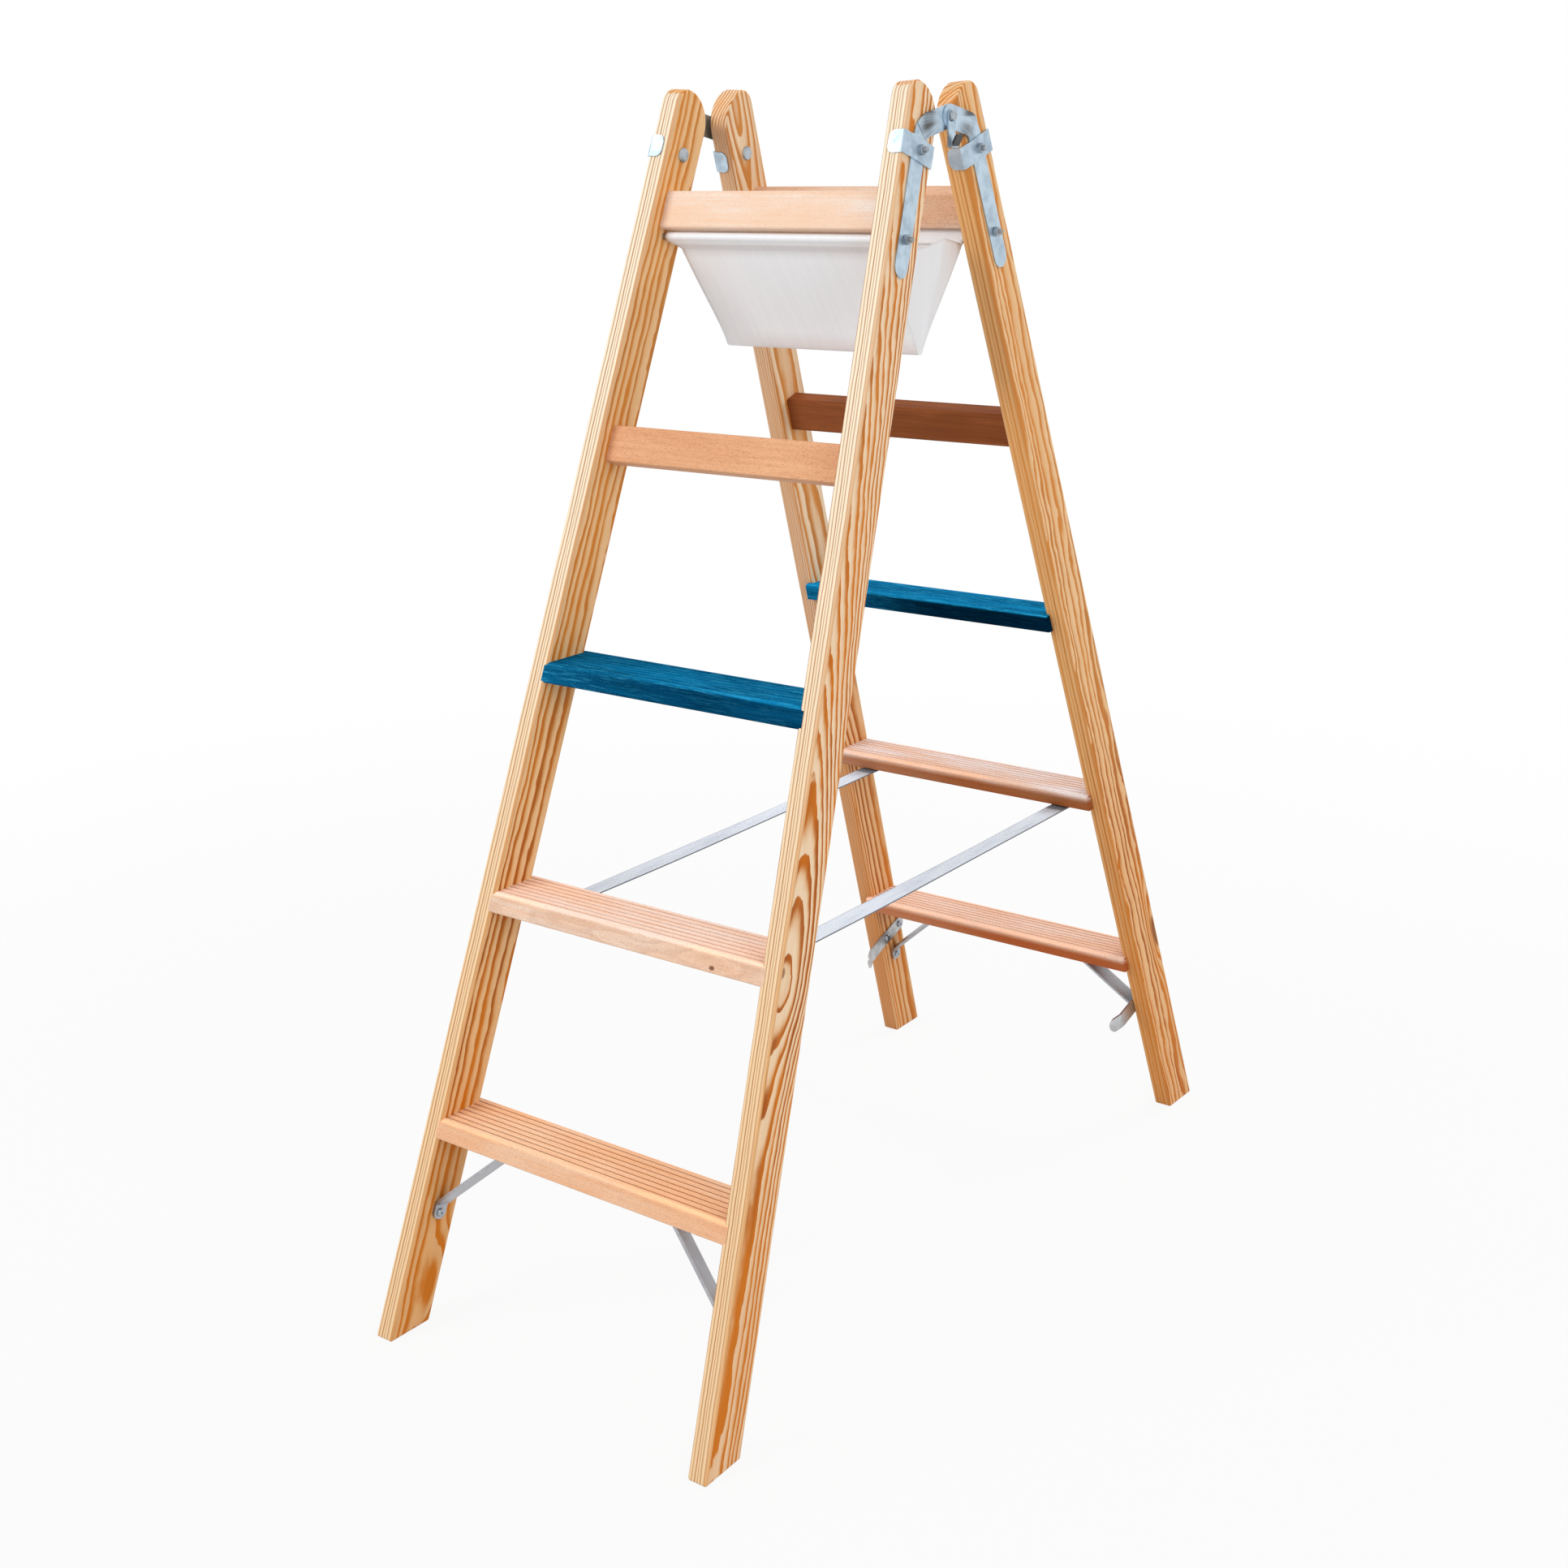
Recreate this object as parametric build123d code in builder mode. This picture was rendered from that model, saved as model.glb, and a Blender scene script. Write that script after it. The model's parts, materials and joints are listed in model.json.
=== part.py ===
from build123d import *
import os
from math import atan, cos, radians, sin, tan

# Double-sided wooden stepladder. X runs along the rungs, +Z is up, the front half stands at -Y.
# All sizes in mm and degrees.

# Stiles
stile_width = 60.0          # from the climbing edge to the inner edge
stile_thickness = 25.0
lean_angle = 20.0           # each half from the vertical
floor_width = 507.0         # over the outer faces at the floor
top_width = 343.0           # over the outer faces at the tops
arris_radius = 2.5
crown_climb = 20.0          # rounding of the top on the climbing side
crown_inside = 38.0         # rounding of the top on the inner side

# Steps and rungs
first_tread_height = 262.0
rung_pitch = 280.0          # along the stile
stile_above_rung = 131.2    # stile above the top rung, along the lean
step_thickness = 23.0
step_overhang = 10.5        # behind the inner edges of the stiles
nose_radius = 4.5
step_edge_radius = 1.5
housing_depth = 5.0
tenon_width = 32.0
tenon_height = 11.0
tenon_length = 11.0
groove_count = 7
groove_pitch = 9.05
groove_first = 8.4          # first groove behind the nose
groove_width = 2.0
groove_depth = 1.8
rung_thickness = 24.0
rung_height = 44.0
rung_edge_radius = 3.0
rung_mortise = 14.0

# Hinge plates, their clamps and rivets
pivot_reach = 15.7          # hinge axis behind the inner edge
pivot_drop = 19.0           # hinge axis below the stile top
hinge_width = 26.0
hinge_thickness = 1.8
hinge_angle = 32.0          # arm from a line square to the stile
hinge_bend = 22.0
leg_length = 153.0          # from the corner to the centre of the round end
joggle_gap = 2.0            # joggle above the clamp
joggle_rise = 12.0
front_joggle = 0.8
arm_clearance = 0.2         # between layers that turn on a rivet
clamp_drop = 73.0           # clamp bolt below the stile top
clamp_width = 25.0
clamp_thickness = 2.0
clamp_length = 57.0
clamp_flat = 9.0
clamp_joggle = 5.0
clamp_bend = 2.2
tab_length = 18.0
tab_corner = 8.0
rivet_radius = 4.0
rivet_head_radius = 6.0
rivet_head_height = 4.0
rivet_tail_height = 2.0

# Bucket hooks
hook_width = 14.5
hook_thickness = 2.0
hook_drop = 33.0
hook_floor = 4.0
hook_lip_out = 11.0
hook_lip_rise = 13.5
hook_bend = 1.8
hook_corner = 3.0

# Tie rods, bolts, nuts and screws
rod_below_rung = 7.0        # rod axis under the top rung
rod_radius = 4.0
thread_radius = 3.0
thread_show = 4.5
nut_flats = 10.0
nut_height = 5.0
nut_chamfer = 0.6
bolt_head_radius = 8.4
bolt_head_height = 2.4
screw_radius = 2.2
screw_length = 14.0
screw_head_radius = 5.2
screw_head_height = 2.8
hole_clearance = 0.1

# Braces under the bottom steps
brace_width = 20.0
brace_thickness = 4.0
brace_angle = 47.0
brace_screw_drop = 101.0    # foot screw below the underside of the bottom step
brace_foot_below = 10.0
brace_foot_above = 9.0
brace_bend = 6.0
brace_tab = 26.0

# Guide plates on the rear stiles
guide_above_brace = 45.0    # guide plate above the brace screw
guide_width = 22.0
guide_thickness = 2.5
guide_front = 2.0
guide_straight = 33.0
guide_drift = 1.6
guide_lead = 20.0
guide_lead_in = 8.0
guide_bend = 6.0
guide_corner = 9.5
guide_screw_inset = 9.0
guide_screw_spacing = 36.0

# Spreader straps under the middle steps
strap_inset = 44.0          # strap centre from the inner face of the stile
strap_width = 25.0
strap_thickness = 1.5
strap_end_margin = 4.0
anchor_length = 30.0
anchor_thickness = 3.0
anchor_screw_spacing = 16.0

# Tool tray
tray_depth = 134.0          # rod axis to the ridge
tray_side_gap = 5.8         # tray to the inner face of the stile
tray_end_slope = 12.5       # ridge shorter than the hems, each end
tray_wall = 1.2
tray_ridge_radius = 6.0
tray_end_drop = 12.0        # end panels below the rod axis
hem_clearance = 0.3

lean = radians(lean_angle)
stile_length = first_tread_height / cos(lean) + 4 * rung_pitch + stile_above_rung
flare_slope = (floor_width - top_width) / 2 / stile_length
flare = atan(flare_slope)
middle_n = stile_width / 2
pivot_n = stile_width + pivot_reach
pivot_s = stile_length - pivot_drop
half_spread = pivot_s * sin(lean) + pivot_n * cos(lean)
pivot_height = pivot_s * cos(lean) - pivot_n * sin(lean)
across = Vector(0, cos(lean), -sin(lean))
along = Vector(0, sin(lean), cos(lean))

# Local axes of the front half: n from the climbing edge inwards, s up the lean
side = Plane(origin=(0, -half_spread, 0), x_dir=across, z_dir=(1, 0, 0))
climb_face = Plane(origin=(0, -half_spread, 0), x_dir=(1, 0, 0), z_dir=-across)
outer = Plane(
    origin=(floor_width / 2, -half_spread, 0),
    x_dir=across,
    z_dir=(cos(flare), sin(flare) * sin(lean), sin(flare) * cos(lean)),
)
inner = outer.offset(-stile_thickness)


def face_x(s):
    """X of the outer face of the right stile."""
    return floor_width / 2 - flare_slope * s


def inner_x(s):
    """X of the inner face of the right stile."""
    return face_x(s) - stile_thickness / cos(flare)


def on_stile(s):
    """Distance along the flared stile for a height s up the lean."""
    return s / cos(flare)


def climb_y(z):
    """Y of the climbing face at a height."""
    return -half_spread + z * tan(lean)


def lean_s(z, n):
    """Height s up the lean of a point at height z and depth n."""
    return (z + n * sin(lean)) / cos(lean)


tread_heights = [first_tread_height + i * rung_pitch * cos(lean) for i in range(5)]
bottom_tread, middle_tread, blue_tread, second_rung_top, top_rung_top = tread_heights
step_depth = (stile_width + step_overhang) / cos(lean)
brace_under = bottom_tread - step_thickness
strap_under = middle_tread - step_thickness
strap_top = strap_under - anchor_thickness

corner_s = pivot_s - (pivot_n - middle_n) * tan(radians(hinge_angle))
leg_end_s = corner_s - leg_length
clamp_s = stile_length - clamp_drop
fold_angle = radians(90 - hinge_angle) / 2
joggle_low_s = clamp_s + clamp_width / 2 + joggle_gap
joggle_s = joggle_low_s + hinge_width / 2 * tan(fold_angle)
joggle_x = face_x(joggle_low_s - joggle_gap)
front_arm_x = joggle_x + front_joggle
rear_arm_x = front_arm_x + hinge_thickness + arm_clearance
hook_x = rear_arm_x + hinge_thickness + arm_clearance
rivet_head_x = hook_x + hook_thickness + arm_clearance

rod_s = lean_s(top_rung_top, middle_n) - rung_height - rod_below_rung
rod_y = -half_spread + rod_s * sin(lean) + middle_n * cos(lean)
rod_z = rod_s * cos(lean) - middle_n * sin(lean)

brace_s = lean_s(brace_under, middle_n) - brace_screw_drop
brace_top_s = lean_s(brace_under, middle_n)
brace_top_y = -half_spread + brace_top_s * sin(lean) + middle_n * cos(lean)
brace_run = brace_top_s - brace_s - brace_foot_above
brace_top_x = inner_x(brace_s) - brace_thickness - brace_run * tan(radians(brace_angle))
brace_tab_x = brace_top_x - brace_tab / 2 + brace_thickness

guide_height = brace_s + guide_above_brace
strap_offset = inner_x(lean_s(strap_under, middle_n)) - strap_inset
anchor_y = climb_y(strap_under) + step_depth / 2
strap_half = -anchor_y + anchor_length / 2 + strap_end_margin
guide_bend_n = stile_width + guide_straight
guide_tip_n = guide_bend_n + guide_lead
guide_screws_n = (guide_screw_inset, guide_screw_inset + guide_screw_spacing)


def cross_section(plane, s):
    """Plane square to the stile at height s: x is n, y points outwards."""
    origin = plane.from_local_coords((0, on_stile(s), 0))
    return Plane(origin=origin, x_dir=across, z_dir=-plane.y_dir)


def seat(plane, n, s):
    """A plane moved in itself to a point of the stile."""
    return Plane(
        origin=plane.from_local_coords((n, on_stile(s), 0)), x_dir=plane.x_dir, z_dir=plane.z_dir
    )


def make_step(tread, grooved, pilots=()):
    """Step: sloping front and back, rounded top edges, stub tenons, grooves along the tread."""
    under = tread - step_thickness
    with BuildPart() as step:
        with BuildSketch(Plane.YZ) as section:
            with BuildLine():
                Polyline(
                    (climb_y(under), under),
                    (climb_y(tread), tread),
                    (climb_y(tread) + step_depth, tread),
                    (climb_y(under) + step_depth, under),
                    close=True,
                )
            make_face()
            fillet(section.vertices().group_by(Axis.Y)[-1], nose_radius)
            fillet(section.vertices().group_by(Axis.Y)[0], step_edge_radius)
        extrude(amount=floor_width / 2)
        split(bisect_by=inner.offset(housing_depth), keep=Keep.BOTTOM)
        middle = tread - step_thickness / 2
        with BuildSketch(seat(inner.offset(housing_depth), middle_n, lean_s(middle, middle_n))):
            Rectangle(tenon_width, tenon_height)
        extrude(amount=tenon_length)
        mirror(about=Plane.YZ)
        if grooved:
            first = climb_y(tread) + groove_first
            with BuildSketch(Plane.XY.offset(tread)):
                with Locations(*[(0, first + i * groove_pitch) for i in range(groove_count)]):
                    Rectangle(floor_width, groove_width)
            extrude(amount=-groove_depth, mode=Mode.SUBTRACT)
        if pilots:
            with BuildSketch(Plane.XY.offset(under)):
                with Locations(*pilots):
                    Circle(screw_radius + hole_clearance)
            extrude(amount=screw_length + hole_clearance, mode=Mode.SUBTRACT)
    return step.part


def make_rung(top):
    """Upright rectangular rung with rounded edges, its ends let into the stiles."""
    with BuildPart() as rung:
        with BuildSketch(side):
            with Locations((middle_n, lean_s(top, middle_n) - rung_height / 2)):
                RectangleRounded(rung_thickness, rung_height, rung_edge_radius)
        extrude(amount=floor_width / 2)
        split(bisect_by=inner.offset(rung_mortise), keep=Keep.BOTTOM)
        mirror(about=Plane.YZ)
    return rung.part


brace_pilots = [(x, brace_top_y) for x in (-brace_tab_x, brace_tab_x)]
strap_pilots = [
    (x, anchor_y + dy)
    for x in (-strap_offset, strap_offset)
    for dy in (-anchor_screw_spacing / 2, anchor_screw_spacing / 2)
]
rungs = {"top": make_rung(top_rung_top), "second": make_rung(second_rung_top)}
steps = {
    "bottom": make_step(bottom_tread, True, brace_pilots),
    "middle": make_step(middle_tread, True, strap_pilots),
    "blue": make_step(blue_tread, True),
}
housed = [make_step(tread, False) for tread in tread_heights[:3]] + list(rungs.values())


def make_stile(guided):
    """Right stile of the front half with its housings, mortises and bolt holes."""
    top = on_stile(stile_length)
    with BuildPart() as stile:
        with BuildSketch(outer) as profile:
            with Locations((middle_n, top / 2 - stile_thickness / 2)):
                Rectangle(stile_width, top + stile_thickness)
            fillet(profile.vertices().group_by(Axis.Y)[-1].sort_by(Axis.X)[0], crown_climb)
            fillet(profile.vertices().group_by(Axis.Y)[-1].sort_by(Axis.X)[-1], crown_inside)
        extrude(amount=-stile_thickness)
        split(bisect_by=Plane.XY, keep=Keep.TOP)
        seams = stile.faces().filter_by(GeomType.CYLINDER).edges().filter_by(GeomType.LINE)
        fillet(stile.edges() - seams, arris_radius)
        for piece in housed:
            add(piece, mode=Mode.SUBTRACT)
        with BuildSketch(side):
            with Locations((middle_n, rod_s)):
                Circle(thread_radius + hole_clearance)
        extrude(amount=floor_width, mode=Mode.SUBTRACT)
        with BuildSketch(seat(outer, middle_n, clamp_s)):
            Circle(thread_radius + hole_clearance)
        extrude(amount=-stile_thickness, mode=Mode.SUBTRACT)
        with BuildSketch(seat(inner, middle_n, brace_s)):
            Circle(screw_radius + hole_clearance)
        extrude(amount=screw_length + hole_clearance, mode=Mode.SUBTRACT)
        if guided:
            with BuildSketch(inner):
                with Locations(*[(n, on_stile(guide_height)) for n in guide_screws_n]):
                    Circle(screw_radius + hole_clearance)
            extrude(amount=screw_length + hole_clearance, mode=Mode.SUBTRACT)
    return stile.part


def make_hinge_band(arm_x):
    """Bent sheet of a hinge plate: flat on the stile, then a joggle across the corner."""
    up = across * sin(fold_angle) + along * cos(fold_angle)
    corner = side.from_local_coords((middle_n, joggle_s, 0))
    low = leg_end_s - hinge_width
    high = pivot_s - corner_s + hinge_width
    with BuildPart() as band:
        with BuildSketch(climb_face):
            with BuildLine():
                Polyline(
                    (face_x(low), low),
                    (face_x(pivot_s), pivot_s),
                    (face_x(pivot_s) + hinge_thickness, pivot_s),
                    (face_x(low) + hinge_thickness, low),
                    close=True,
                )
            make_face()
        extrude(amount=-(pivot_n + hinge_width))
        split(bisect_by=Plane(origin=corner, x_dir=(1, 0, 0), z_dir=up), keep=Keep.BOTTOM)
        with BuildSketch(Plane(origin=corner, x_dir=(1, 0, 0), z_dir=Vector(1, 0, 0).cross(up))):
            with BuildLine():
                Polyline(
                    (joggle_x, -joggle_gap / 4),
                    (joggle_x, 0),
                    (arm_x, joggle_rise),
                    (arm_x, high + pivot_n),
                    (arm_x + hinge_thickness, high + pivot_n),
                    (arm_x + hinge_thickness, joggle_rise),
                    (joggle_x + hinge_thickness, 0),
                    (joggle_x + hinge_thickness, -joggle_gap / 4),
                    close=True,
                )
            make_face()
        extrude(amount=pivot_n + hinge_width, both=True)
    return band.part


def make_hinge_plate(arm_x, pivot_hole):
    """Leg on the stile, rounded corner, and a straight arm square to the hinge axis."""
    with BuildPart() as plate:
        with BuildSketch(side):
            with BuildLine():
                FilletPolyline(
                    (middle_n, leg_end_s), (middle_n, corner_s), (pivot_n, pivot_s), radius=hinge_bend
                )
            trace(line_width=hinge_width)
            with Locations((middle_n, leg_end_s), (pivot_n, pivot_s)):
                Circle(hinge_width / 2)
        extrude(amount=floor_width / 2)
        add(make_hinge_band(arm_x), mode=Mode.INTERSECT)
        with BuildSketch(side):
            with Locations((middle_n, rod_s)):
                Circle(thread_radius + hole_clearance)
            with Locations((pivot_n, pivot_s)):
                Circle(pivot_hole)
        extrude(amount=floor_width / 2, mode=Mode.SUBTRACT)
        with BuildSketch(seat(outer.offset(-hinge_thickness), middle_n, clamp_s)):
            Circle(thread_radius + hole_clearance)
        extrude(amount=3 * hinge_thickness, mode=Mode.SUBTRACT)
    return plate.part


def make_clamp(tab_at_front):
    """Strip joggled over the hinge leg, with one rounded tab turned round a stile edge."""
    half = clamp_thickness / 2
    path = [
        (-half, -tab_length),
        (-half, half),
        (clamp_flat, half),
        (clamp_flat + clamp_joggle, hinge_thickness + half),
        (clamp_length, hinge_thickness + half),
    ]
    if not tab_at_front:
        path = [(stile_width - n, height) for n, height in path]
    with BuildPart() as clamp:
        with BuildSketch(cross_section(outer, clamp_s)):
            with BuildLine():
                FilletPolyline(*path, radius=clamp_bend)
            trace(line_width=clamp_thickness)
        extrude(amount=clamp_width / 2, both=True)
        tips = clamp.edges().filter_by(Axis((0, 0, 0), across))
        fillet(tips.sort_by(Axis(outer.origin, outer.z_dir))[:2], tab_corner)
        with BuildSketch(seat(outer, middle_n, clamp_s)):
            Circle(thread_radius + hole_clearance)
        extrude(amount=hinge_thickness + 2 * clamp_thickness, mode=Mode.SUBTRACT)
    return clamp.part


def make_clamp_bolts():
    """Pair of round-headed bolts, heads on the inner faces of the stiles."""
    reach = stile_thickness + hinge_thickness + clamp_thickness + nut_height + thread_show
    with BuildPart() as bolts:
        with BuildSketch(seat(inner, middle_n, clamp_s)):
            Circle(bolt_head_radius)
        extrude(amount=-bolt_head_height)
        rim = bolts.edges().sort_by(Axis(inner.origin, inner.z_dir))[0]
        fillet(rim, 0.8 * bolt_head_height)
        with BuildSketch(seat(inner, middle_n, clamp_s)):
            Circle(thread_radius)
        extrude(amount=reach)
        chamfer(bolts.edges().sort_by(Axis(inner.origin, inner.z_dir))[-1], nut_chamfer)
        mirror(about=Plane.YZ)
    return bolts.part


def make_nuts(place):
    """Pair of hexagon nuts, one on a seat and one mirrored on the other side."""
    with BuildPart() as nuts:
        with BuildSketch(place):
            RegularPolygon(nut_flats / 2, 6, major_radius=False)
            Circle(thread_radius + hole_clearance, mode=Mode.SUBTRACT)
        extrude(amount=nut_height)
        top = nuts.faces().sort_by(Axis(place.origin, place.z_dir))[-1]
        chamfer(top.outer_wire().edges(), nut_chamfer)
        mirror(about=Plane.YZ)
    return nuts.part


rod_shoulder_x = inner_x(rod_s + rod_radius)
rod_nut_x = face_x(rod_s - nut_flats / 2) + hinge_thickness + hole_clearance


def make_tie_rod():
    """Plain rod between the stiles with thinner threaded ends through them."""
    with BuildPart() as rod:
        with BuildSketch(side):
            with Locations((middle_n, rod_s)):
                Circle(rod_radius)
        extrude(amount=rod_shoulder_x)
        with BuildSketch(side.offset(rod_shoulder_x)):
            with Locations((middle_n, rod_s)):
                Circle(thread_radius)
        extrude(amount=rod_nut_x + nut_height + thread_show - rod_shoulder_x)
        chamfer(rod.edges().sort_by(Axis.X)[-1], nut_chamfer)
        mirror(about=Plane.YZ)
    return rod.part


def make_rivet():
    """Hinge rivet: flat tail inside, stem through both arms and the hook, domed head outside."""
    with BuildPart() as rivet:
        with BuildSketch(side.offset(front_arm_x - rivet_tail_height)):
            with Locations((pivot_n, pivot_s)):
                Circle(rivet_head_radius)
        extrude(amount=rivet_tail_height)
        with BuildSketch(side.offset(front_arm_x)):
            with Locations((pivot_n, pivot_s)):
                Circle(rivet_radius)
        extrude(amount=rivet_head_x - front_arm_x)
        with BuildSketch(side.offset(rivet_head_x)):
            with Locations((pivot_n, pivot_s)):
                Circle(rivet_head_radius)
        extrude(amount=rivet_head_height)
        fillet(rivet.edges().sort_by(Axis.X)[-1], 0.9 * rivet_head_height)
        fillet(rivet.edges().sort_by(Axis.X)[0], 0.6 * rivet_tail_height)
    return rivet.part


def make_hook():
    """Bucket hook: flat strip on the rivet, turned up outwards at the bottom."""
    middle_x = hook_x + hook_thickness / 2
    low = pivot_height - hook_drop
    with BuildPart() as hook:
        with BuildSketch(Plane.XZ):
            with BuildLine():
                FilletPolyline(
                    (middle_x, pivot_height),
                    (middle_x, low),
                    (middle_x + hook_floor, low),
                    (middle_x + hook_lip_out, low + hook_lip_rise),
                    radius=hook_bend,
                )
            trace(line_width=hook_thickness)
        extrude(amount=hook_width / 2, both=True)
        lip = hook.faces().sort_by(Axis.X)[-1].edges() + hook.edges().sort_by(Axis.X)[-6:]
        corners = [e for e in set(lip) if abs(e.length - hook_thickness) < 0.01]
        fillet(corners, hook_corner)
        with BuildSketch(side.offset(hook_x)):
            with Locations((pivot_n, pivot_s)):
                Circle(hook_width / 2)
        extrude(amount=hook_thickness)
        with BuildSketch(side.offset(hook_x)):
            with Locations((pivot_n, pivot_s)):
                Circle(rivet_radius + hole_clearance)
        extrude(amount=hook_thickness, mode=Mode.SUBTRACT)
    return hook.part


def make_brace():
    """Flat bar: rounded foot on the stile, sloping bar, tab under the bottom step."""
    half = brace_thickness / 2
    off = half / cos(flare)
    low = brace_s - brace_foot_below
    knee = brace_s + brace_foot_above
    length = 2 * brace_screw_drop
    turn = radians(brace_angle)
    path = [
        (inner_x(low) - off, low),
        (inner_x(knee) - off, knee),
        (inner_x(knee) - off - length * sin(turn), knee + length * cos(turn)),
    ]
    with BuildPart() as brace:
        with BuildSketch(climb_face.offset(brace_width / 2 - middle_n)):
            with BuildLine():
                FilletPolyline(*path, radius=brace_bend)
            trace(line_width=brace_thickness)
        extrude(amount=-brace_width)
        ends = [e for e in brace.edges() if abs(e.length - brace_thickness) < 0.01]
        fillet(ShapeList(ends).sort_by(Axis(climb_face.origin, along))[:2], 0.45 * brace_width)
        split(bisect_by=Plane.XY.offset(brace_under), keep=Keep.BOTTOM)
        with Locations((brace_tab_x, brace_top_y, brace_under - half)):
            Box(brace_tab, brace_width, brace_thickness)
        with BuildSketch(seat(inner, middle_n, brace_s)):
            Circle(screw_radius + hole_clearance)
        extrude(amount=-2 * brace_thickness, mode=Mode.SUBTRACT)
        with BuildSketch(Plane.XY.offset(brace_under)):
            with Locations((brace_tab_x, brace_top_y)):
                Circle(screw_radius + hole_clearance)
        extrude(amount=-brace_thickness, mode=Mode.SUBTRACT)
    return brace.part


def make_screw(place):
    """Pan-head screw, its head on the near side of a plane and its shank along the normal."""
    with BuildPart() as screw:
        with BuildSketch(place):
            Circle(screw_head_radius)
        extrude(amount=-screw_head_height)
        rim = screw.edges().sort_by(Axis(place.origin, place.z_dir))[0]
        fillet(rim, 0.7 * screw_head_height)
        with BuildSketch(place):
            Circle(screw_radius)
        extrude(amount=screw_length)
    return screw.part


def make_brace_screws():
    """Foot and tab screws of both braces of one half."""
    with BuildPart() as screws:
        add(make_screw(seat(inner.offset(-brace_thickness), middle_n, brace_s)))
        under_tab = Plane.XY.offset(brace_under - brace_thickness)
        add(make_screw(Plane(origin=(brace_tab_x, brace_top_y, under_tab.origin.Z))))
        mirror(about=Plane.YZ)
    return screws.part


def make_guide():
    """Strip on the inner face that leads the other half in, its end bent towards the middle."""
    half = guide_thickness / 2
    path = [
        (-guide_front, -half),
        (stile_width, -half),
        (guide_bend_n, -half - guide_drift),
        (guide_tip_n, -half - guide_drift - guide_lead_in),
    ]
    with BuildPart() as guide:
        with BuildSketch(cross_section(inner, guide_height)):
            with BuildLine():
                FilletPolyline(*path, radius=guide_bend)
            trace(line_width=guide_thickness)
        extrude(amount=guide_width / 2, both=True)
        ends = [e for e in guide.edges() if abs(e.length - guide_thickness) < 0.01]
        ends = ShapeList(ends).sort_by(Axis(inner.origin, across))
        fillet(ends[:2] + ends[-2:], guide_corner)
        with BuildSketch(inner):
            with Locations(*[(n, on_stile(guide_height)) for n in guide_screws_n]):
                Circle(screw_radius + hole_clearance)
        extrude(amount=-guide_thickness, mode=Mode.SUBTRACT)
    return guide.part


def make_guide_screws():
    """Two screws for each guide plate."""
    with BuildPart() as screws:
        for n in guide_screws_n:
            add(make_screw(seat(inner.offset(-guide_thickness), n, guide_height)))
        mirror(about=Plane.YZ)
    return screws.part


def make_strap():
    """Flat webbing strap from one middle step to the other."""
    with BuildPart() as strap:
        with Locations((strap_offset, 0, strap_top - strap_thickness / 2)):
            Box(strap_width, 2 * strap_half, strap_thickness)
        with BuildSketch(Plane.XY.offset(strap_top)):
            with Locations(*[(x, y) for x, y in strap_pilots if x > 0]):
                Circle(screw_radius + hole_clearance)
        extrude(amount=-strap_thickness, mode=Mode.SUBTRACT)
        with BuildSketch(Plane.XY.offset(strap_top)):
            with Locations(*[(x, -y) for x, y in strap_pilots if x > 0]):
                Circle(screw_radius + hole_clearance)
        extrude(amount=-strap_thickness, mode=Mode.SUBTRACT)
    return strap.part


def make_strap_plates():
    """Steel plates between a middle step and the strap ends."""
    with BuildPart() as plates:
        with BuildSketch(Plane.XY.offset(strap_under)):
            with Locations((-strap_offset, anchor_y), (strap_offset, anchor_y)):
                RectangleRounded(strap_width, anchor_length, 2 * strap_thickness)
            with Locations(*strap_pilots):
                Circle(screw_radius + hole_clearance, mode=Mode.SUBTRACT)
        extrude(amount=-anchor_thickness)
    return plates.part


def make_strap_screws():
    """Screws of both strap ends of one half."""
    with BuildPart() as screws:
        for x, y in strap_pilots:
            add(make_screw(Plane(origin=(x, y, strap_top - strap_thickness))))
    return screws.part


ridge_z = rod_z - tray_depth
tray_top_half = inner_x(rod_s) - tray_side_gap
tray_slope = tray_end_slope / tray_depth
tray_end = Plane(origin=(tray_top_half, 0, rod_z), x_dir=(0, 1, 0), z_dir=(1, 0, -tray_slope))


def make_tray_end():
    """Triangular end panel of the tray."""
    top = rod_z - tray_end_drop
    reach = -rod_y * (tray_depth - tray_end_drop) / tray_depth
    with BuildPart() as panel:
        with BuildSketch(Plane.YZ):
            with BuildLine():
                Polyline((-reach, top), (reach, top), (0, ridge_z), close=True)
            make_face()
        extrude(amount=2 * tray_top_half)
        split(bisect_by=tray_end, keep=Keep.BOTTOM)
        split(bisect_by=tray_end.offset(-tray_wall), keep=Keep.TOP)
    return panel.part


def make_tray():
    """Fabric trough hung by hems from the two rods, with end panels."""
    sleeve = rod_radius + hem_clearance
    with BuildPart() as tray:
        with BuildSketch(Plane.YZ):
            with BuildLine():
                FilletPolyline((rod_y, rod_z), (0, ridge_z), (-rod_y, rod_z), radius=tray_ridge_radius)
            trace(line_width=tray_wall)
            with Locations((rod_y, rod_z), (-rod_y, rod_z)):
                Circle(sleeve + tray_wall)
                Circle(sleeve, mode=Mode.SUBTRACT)
        extrude(amount=2 * tray_top_half)
        split(bisect_by=tray_end, keep=Keep.BOTTOM)
        add(make_tray_end())
        mirror(about=Plane.YZ)
    return tray.part


def to_left(piece):
    """A right-hand piece mirrored to the left."""
    with BuildPart() as turned:
        mirror(piece, about=Plane.YZ)
    return turned.part


def to_rear(piece):
    """A front piece mirrored to the rear half."""
    with BuildPart() as turned:
        mirror(piece, about=Plane.XZ)
    return turned.part


def save(piece, name):
    """Label one node and write its file."""
    piece.label = name
    export_step(piece, "parts/" + name + ".step")


def save_pair(piece, name):
    """Write a right-hand piece and its left-hand twin."""
    save(piece, name + "_right")
    save(to_left(piece), name + "_left")


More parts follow.
